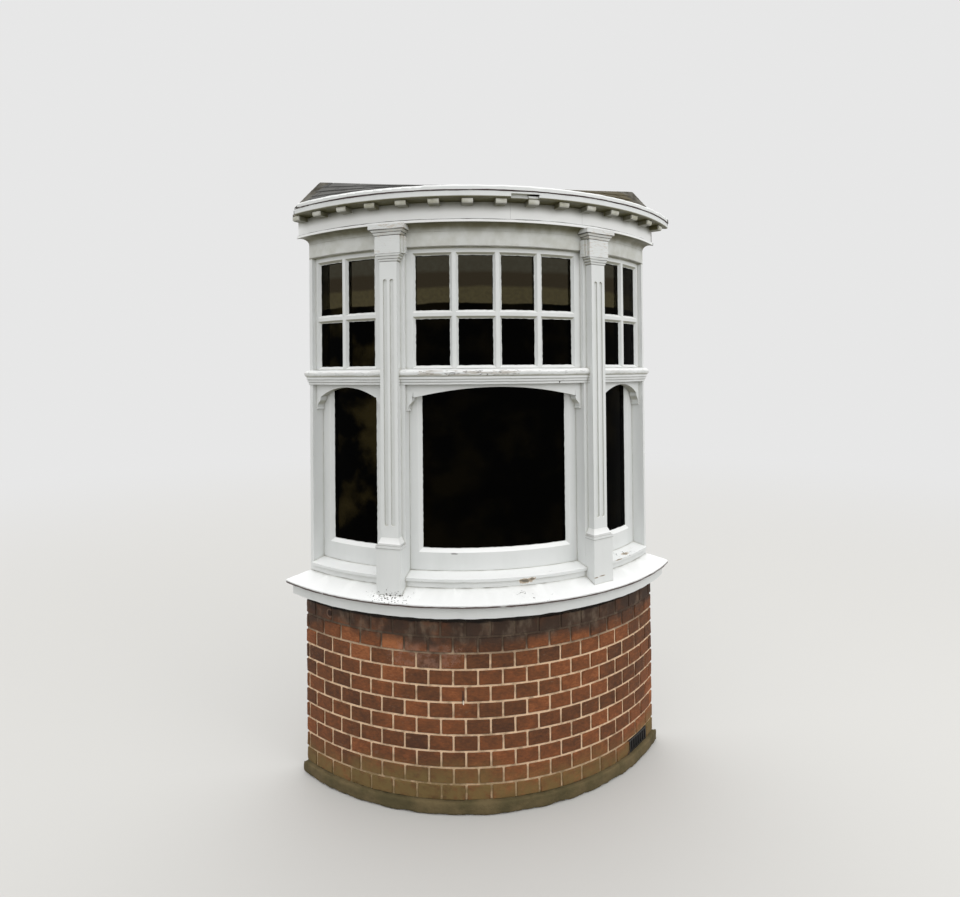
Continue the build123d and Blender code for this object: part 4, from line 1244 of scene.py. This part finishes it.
@dataclass
class Roof:
    """Slates on the low roof, and mortar fillets where it meets the wall."""

    eave_radius: float = 1.280
    eave: float = 2.904
    ridge: float = 3.056
    hip_run: float = 0.135
    rows: int = 5
    per_row: int = 12
    slated: float = 0.93
    first_tail: float = 0.012
    top: float = 0.985
    lap: float = 1.35
    half_joint: float = 0.0015
    hips: Edge = (0.004, 0.996)
    thickness: float = 0.004
    fillet_width: float = 0.030
    seed: random.Random = field(default_factory=lambda: random.Random(5))

    def surface(self, across: float, up: float) -> Vector:
        """Point on the roof.

        Args:
            across: From 0 at the left hip to 1 at the right.
            up: From 0 at the eave to 1 at the wall.

        Returns:
            The point.
        """
        side = 2 * across - 1
        low = on_bow(self.eave_radius, side * wall_bearing(self.eave_radius), self.eave)
        high = Vector((side * (wall_reach(self.eave_radius) - self.hip_run), WALL_Y, self.ridge))
        return low.lerp(high, up)

    def slates(self) -> Piece:
        """Lay the slates.

        Returns:
            The slates as one piece.
        """
        made = []
        step = self.slated / self.rows
        for row in range(self.rows):
            shift = 0.0 if row % 2 else 0.5
            for number in range(-1, self.per_row + 1):
                start = max((number + shift) / self.per_row, self.hips[0])
                end = min((number + 1 + shift) / self.per_row, self.hips[1])
                if end - start < 0.02:
                    continue
                made.append(self.slate(start + self.half_joint, end - self.half_joint, self.first_tail + row * step,
                                       self.first_tail + (row + self.lap) * step))
        slates = join("slates", made)
        smooth(slates, 30)
        return slates

    def slate(self, start: float, end: float, low: float, high: float) -> Piece:
        """Model one slate between two places across and two up the roof.

        Args:
            start: Left edge.
            end: Right edge.
            low: Bottom edge.
            high: Top edge, under the next row.

        Returns:
            The slate.
        """
        high = min(high, self.top)
        lift = self.seed.uniform(0.0005, 0.002)
        ragged = self.seed.uniform(-0.006, 0.006)

        def place(along: float, rise: float) -> Vector:
            """Point of the slate, its tail lying on the row below.

            Args:
                along: From 0 at its left edge to 1 at its right.
                rise: From 0 at its tail to 1 at its head.

            Returns:
                The point.
            """
            up = low + rise * (high - low) + (ragged if rise == 0 else 0.0)
            point = self.surface(start + along * (end - start), up)
            point.z += self.thickness * 1.6 * (1 - rise) + lift
            return point

        piece = strip("slate", (3, 2), place, self.thickness)
        tint(piece, self.seed.uniform(0.15, 0.85))
        return piece

    def fillets(self) -> Piece:
        """Lay rough mortar along both hips, in two layers.

        Returns:
            The mortar as one piece.
        """
        made = []
        cells = 24
        for side in Side:
            left = side is Side.LEFT
            for layer in range(2):
                wide = self.fillet_width * (1.0 - 0.4 * layer) * (1.0 if left else 1.8)
                rough = 0.013 if left else 0.024
                lumps = [self.seed.uniform(0.4, 1.0) for _ in range(cells + 6)]

                def place(along: float, inwards: float) -> Vector:
                    """Point of the fillet.

                    Args:
                        along: From 0 at the eave to 1 at the wall.
                        inwards: From 0 at the hip to 1 over the slates.

                    Returns:
                        The point.
                    """
                    lump = lumps[int(along * cells) + int(inwards * 4)]
                    share = inwards * wide * (0.6 + 0.5 * lump)
                    across = self.hips[0] + share if left else self.hips[1] - share
                    point = self.surface(across, 0.01 + along * 0.97)
                    point.z += 0.005 + rough * lump * (1 - abs(2 * inwards - 0.7)) * (1 - 0.7 * along)
                    return point

                made.append(strip("fillet", (cells, 4), place, 0.004))
        fillets = join("hip_mortar", made)
        smooth(fillets, 50)
        return fillets

    def build(self) -> None:
        finish = Slate().make()
        slates = self.slates()
        slates.data.materials.append(finish)
        fillets = self.fillets()
        fillets.data.materials.append(HIP_MORTAR.make())
        dress("roof", finish)
        report(slates, fillets)


# Timber


@dataclass
class Joinery:
    """Painted timber, each piece eased at its edges as old paint leaves it."""

    ease_width: float = 0.0018
    slice_step: float = 1.2
    painted: dict[Facing, tuple[str, ...]] = field(default_factory=lambda: {
        Facing.SHELTERED: ("lower_sash", "upper_sash", "mullion", "end_post", "apron"),
        Facing.WEATHERED: ("sill", "subsill", "transom", "pilaster"),
        Facing.CARVED: ("capital",),
        Facing.EAVES: ("frieze", "head", "crown_moulding", "modillions", "capping_strip"),
    })
    inside: tuple[str, ...] = ("window_board", "ceiling")
    wavering: dict[str, float] = field(default_factory=lambda: {
        "sill": 0.006, "subsill": 0.004, "transom": 0.005, "capping_strip": 0.005, "crown": 0.003})

    def nodes(self, stems: Sequence[str]) -> list[str]:
        """Packed timbers whose names are one of these words, alone or with an end added."""
        timbers = sorted(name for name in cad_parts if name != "sill_bed")
        return [name for name in timbers if any(f"{name}_".startswith(f"{stem}_") for stem in stems)]

    def dressed(self, node: str, finish: Material) -> None:
        """Ease one node's edges in a piece that stands for it.

        Args:
            node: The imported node.
            finish: Its paint.
        """
        piece = cast(node, f"{node}_timber")
        for stem, strength in self.wavering.items():
            if node.startswith(stem):
                slice_up(piece, self.slice_step)
                ripple(piece, strength, size=0.05, middle=0.65)
        ease(piece, self.ease_width)
        smooth(piece, 32)
        piece.data.materials.append(finish)
        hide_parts(node)
        report(piece)

    def build(self) -> None:
        """Dress every piece of timber."""
        for facing, stems in self.painted.items():
            finish = Gloss(facing).make()
            for node in self.nodes(stems):
                self.dressed(node, finish)
        inside = INSIDE_PAINT.make()
        for node in self.inside:
            dress(node, inside)


# The rest


@dataclass
class Fittings:
    """Glass, air brick, bedding and kerb."""

    upper_reflection_from: float = 2.402
    kerb_edge: float = 0.012
    kerb_grain: float = 0.008
    kerb_lumps: tuple[Edge, ...] = ((0.012, 0.09), (0.005, 0.025))

    def build(self) -> None:
        """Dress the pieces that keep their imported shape, then the kerb."""
        upper = Glazing("upper window glass", self.upper_reflection_from).make()
        lower = Glazing("lower window glass").make()
        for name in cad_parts:
            if "glass" in name:
                dress(name, upper if name.startswith("upper") else lower)
        dress("air_brick", BLACK_IRON.make())
        dress("sill_bed", SHADED_SILL_BEDDING.make())
        self.kerb()

    def kerb(self) -> None:
        kerb = cast("footing_kerb", "kerb_render")
        ease(kerb, self.kerb_edge, segments=3)
        modify(kerb, "REMESH", mode="VOXEL", voxel_size=self.kerb_grain)
        for strength, size in self.kerb_lumps:
            ripple(kerb, strength, size)
        for vertex in kerb.data.vertices:
            vertex.co.z = max(vertex.co.z, 0.0)
        smooth(kerb, 60)
        kerb.data.materials.append(MOSSY_RENDER.make())
        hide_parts("footing_kerb")
        report(kerb)


@dataclass
class PaintLaps:
    """Paint that strayed from each sash on to the edges of its panes."""

    rebate: float = 0.007
    spacing: float = 0.014
    under_sash: float = 0.001
    off_glass: float = 0.0002
    stray: Edge = (0.0004, 0.0026)
    thickness: float = 0.0006
    seed: random.Random = field(default_factory=lambda: random.Random(23))

    def panes(self, node: str) -> list[tuple[float, float, float, float, float]]:
        """Find the panes of a glass node.

        Args:
            node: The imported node.

        Returns:
            For each pane its face's radius, its two bearings, and its bottom and top within the rebate.
        """
        edit(cast(node, "panes"))
        bpy.ops.mesh.separate(type="LOOSE")
        done()
        found = []
        for sheet in list(bpy.context.selected_objects):
            spots = [vertex.co - BOW_CENTRE for vertex in sheet.data.vertices]
            bearings = [degrees(atan2(spot.x, -spot.y)) for spot in spots]
            heights = [spot.z for spot in spots]
            radius = max(spot.xy.length for spot in spots)
            lap = degrees(self.rebate / radius)
            found.append((radius, min(bearings) + lap, max(bearings) - lap,
                          min(heights) + self.rebate, max(heights) - self.rebate))
            bpy.data.objects.remove(sheet)
        return found

    def edge(self, radius: float, begin: Edge, end: Edge, inwards: Edge) -> Piece:
        """Model the paint along one edge of a pane.

        Args:
            radius: Face of the glass.
            begin: Bearing and height where the edge begins.
            end: Bearing and height where it ends.
            inwards: Bearing and height of a metre's step into the pane.

        Returns:
            The strip of paint.
        """
        length = max(radians(abs(end[0] - begin[0])) * radius, abs(end[1] - begin[1]))
        cells = max(int(length / self.spacing), 3)
        drift = [self.seed.uniform(*self.stray) for _ in range(cells + 1)]

        def place(along: float, across: float) -> Vector:
            """Point of the strip.

            Args:
                along: From 0 where the edge begins to 1 where it ends.
                across: From 0 on the sash to 1 on the glass.

            Returns:
                The point.
            """
            step = across * (self.under_sash + drift[round(along * cells)]) - self.under_sash
            bearing, height = (
                first + along * (last - first) + step * way for first, last, way in zip(begin, end, inwards))
            return on_bow(radius + self.off_glass, bearing, height)

        return strip("paint", (cells, 1), place, self.thickness)

    def build(self) -> None:
        strips = []
        for node in sorted(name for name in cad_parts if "glass" in name):
            for radius, left, right, low, high in self.panes(node):
                turn = degrees(1 / radius)
                strips += [
                    self.edge(radius, (left, low), (right, low), (0, 1)),
                    self.edge(radius, (left, high), (right, high), (0, -1)),
                    self.edge(radius, (left, low), (left, high), (turn, 0)),
                    self.edge(radius, (right, low), (right, high), (-turn, 0)),
                ]
        laps = join("paint_laps", strips)
        laps.data.materials.append(Gloss(Facing.SHELTERED).make())
        report(laps)


@dataclass
class Studio:
    """Pale floor, soft light from above and the camera."""

    floor_size: float = 60.0
    floor_colour: Colour = srgb(196, 195, 192)
    bounce_colour: Colour = srgb(150, 149, 144)
    fade: Edge = (3.5, 13.0)
    backdrop: float = 0.80
    horizon: Colour = (1.04, 1.04, 1.04)
    zenith: Colour = (1.55, 1.55, 1.55)
    lamp_place: Size = (3.4, -3.4, 4.0)
    lamp_aim: Size = (0, 0, 1.6)
    lamp_size: float = 2.6
    lamp_power: float = 45
    camera_place: Size = (-0.4928, -3.0146, 2.0542)
    camera_yaw: float = 7.334
    camera_pitch: float = 0.6155
    camera_roll: float = 0.5025
    sensor: float = 36.0
    lens: float = 22.79
    shift: Edge = (0.0114, -0.0861)

    def build(self) -> None:
        """Set up floor, world, lamp and camera."""
        self.floor()
        self.world()
        self.lamp()
        self.camera()

    def floor(self) -> None:
        """Lay the floor, which fades into the backdrop."""
        only()
        bpy.ops.mesh.primitive_circle_add(vertices=96, radius=self.floor_size, fill_type="NGON")
        floor = bpy.context.object
        floor.name = "studio_floor"
        shader = Shader("studio floor", self.bounce_colour)
        seen = shader.seen()
        shader.lay(self.floor_colour, seen)
        floor.data.materials.append(shader.finish(1.0))
        shader.body.inputs["Specular IOR Level"].default_value = 0.0
        away = shader.vector("LENGTH", shader.place).outputs["Value"]
        fade = shader.all_of(seen, shader.past(away, self.fade))
        glow = shader.node("ShaderNodeEmission", {"Strength": self.backdrop, "Color": (1.0, 1.0, 1.0)})
        blend = shader.node("ShaderNodeMixShader", {0: fade, 1: shader.body.outputs[0], 2: glow.outputs[0]})
        shader.feed(shader.tree.nodes["Material Output"].inputs["Surface"], blend.outputs[0])

    def world(self) -> None:
        """Make a soft sky, bright overhead, that the camera sees as an even backdrop."""
        world = bpy.data.worlds.new("studio")
        bpy.context.scene.world = world
        world.use_nodes = True
        wiring = Wiring(world.node_tree)
        way = wiring.node("ShaderNodeTexCoord").outputs["Generated"]
        sky = wiring.mix(wiring.part(way, "Z"), self.horizon, self.zenith)
        shown = wiring.mix(wiring.seen(), sky, (self.backdrop, self.backdrop, self.backdrop))
        wiring.feed(wiring.tree.nodes["Background"].inputs["Color"], shown)

    def lamp(self) -> None:
        """Hang a soft lamp that looks at the window."""
        light = bpy.data.lights.new("key", "AREA")
        light.size = self.lamp_size
        light.energy = self.lamp_power
        holder = bpy.data.objects.new("key", light)
        holder.location = self.lamp_place
        holder.visible_glossy = False
        aim = Vector(self.lamp_aim) - Vector(self.lamp_place)
        holder.rotation_euler = aim.to_track_quat("-Z", "Y").to_euler()
        bpy.context.scene.collection.objects.link(holder)

    def camera(self) -> None:
        """Stand the camera before the window, at standing eye height."""
        yaw, pitch, roll = (radians(value) for value in (self.camera_yaw, self.camera_pitch, self.camera_roll))
        turn = Matrix.Rotation(-yaw, 4, "Z") @ Matrix.Rotation(pi / 2 + pitch, 4, "X") @ Matrix.Rotation(-roll, 4, "Z")
        data = bpy.data.cameras.new("camera")
        data.sensor_fit = "HORIZONTAL"
        data.sensor_width = self.sensor
        data.lens = self.lens
        data.shift_x, data.shift_y = self.shift
        camera = bpy.data.objects.new("camera", data)
        camera.matrix_world = Matrix.Translation(self.camera_place) @ turn
        bpy.context.scene.collection.objects.link(camera)
        bpy.context.scene.camera = camera


def dress(node: str, finish: Material) -> None:
    """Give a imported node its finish.

    Args:
        node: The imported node.
        finish: What it is dressed in.
    """
    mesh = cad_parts[node].data
    mesh.materials.clear()
    mesh.materials.append(finish)


def report(*pieces: Piece) -> None:
    """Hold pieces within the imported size, ride them on the one body and log them.

    Args:
        pieces: The new pieces.
    """
    low, high = CAD_BOX
    for piece in pieces:
        for vertex in piece.data.vertices:
            vertex.co = [min(max(place, least), most) for place, least, most in zip(vertex.co, low, high)]
        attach(piece, "root")
        triangles = sum(len(face.vertices) - 2 for face in piece.data.polygons)
        LOG.info("%s: %d triangles", piece.name, triangles)


def main() -> None:
    """Build everything in order."""
    Studio().build()
    Fittings().build()
    Joinery().build()
    PaintLaps().build()
    Roof().build()
    Brickwork().build()
    bpy.context.scene.view_settings.view_transform = "Standard"


if __name__ == "__main__":
    main()
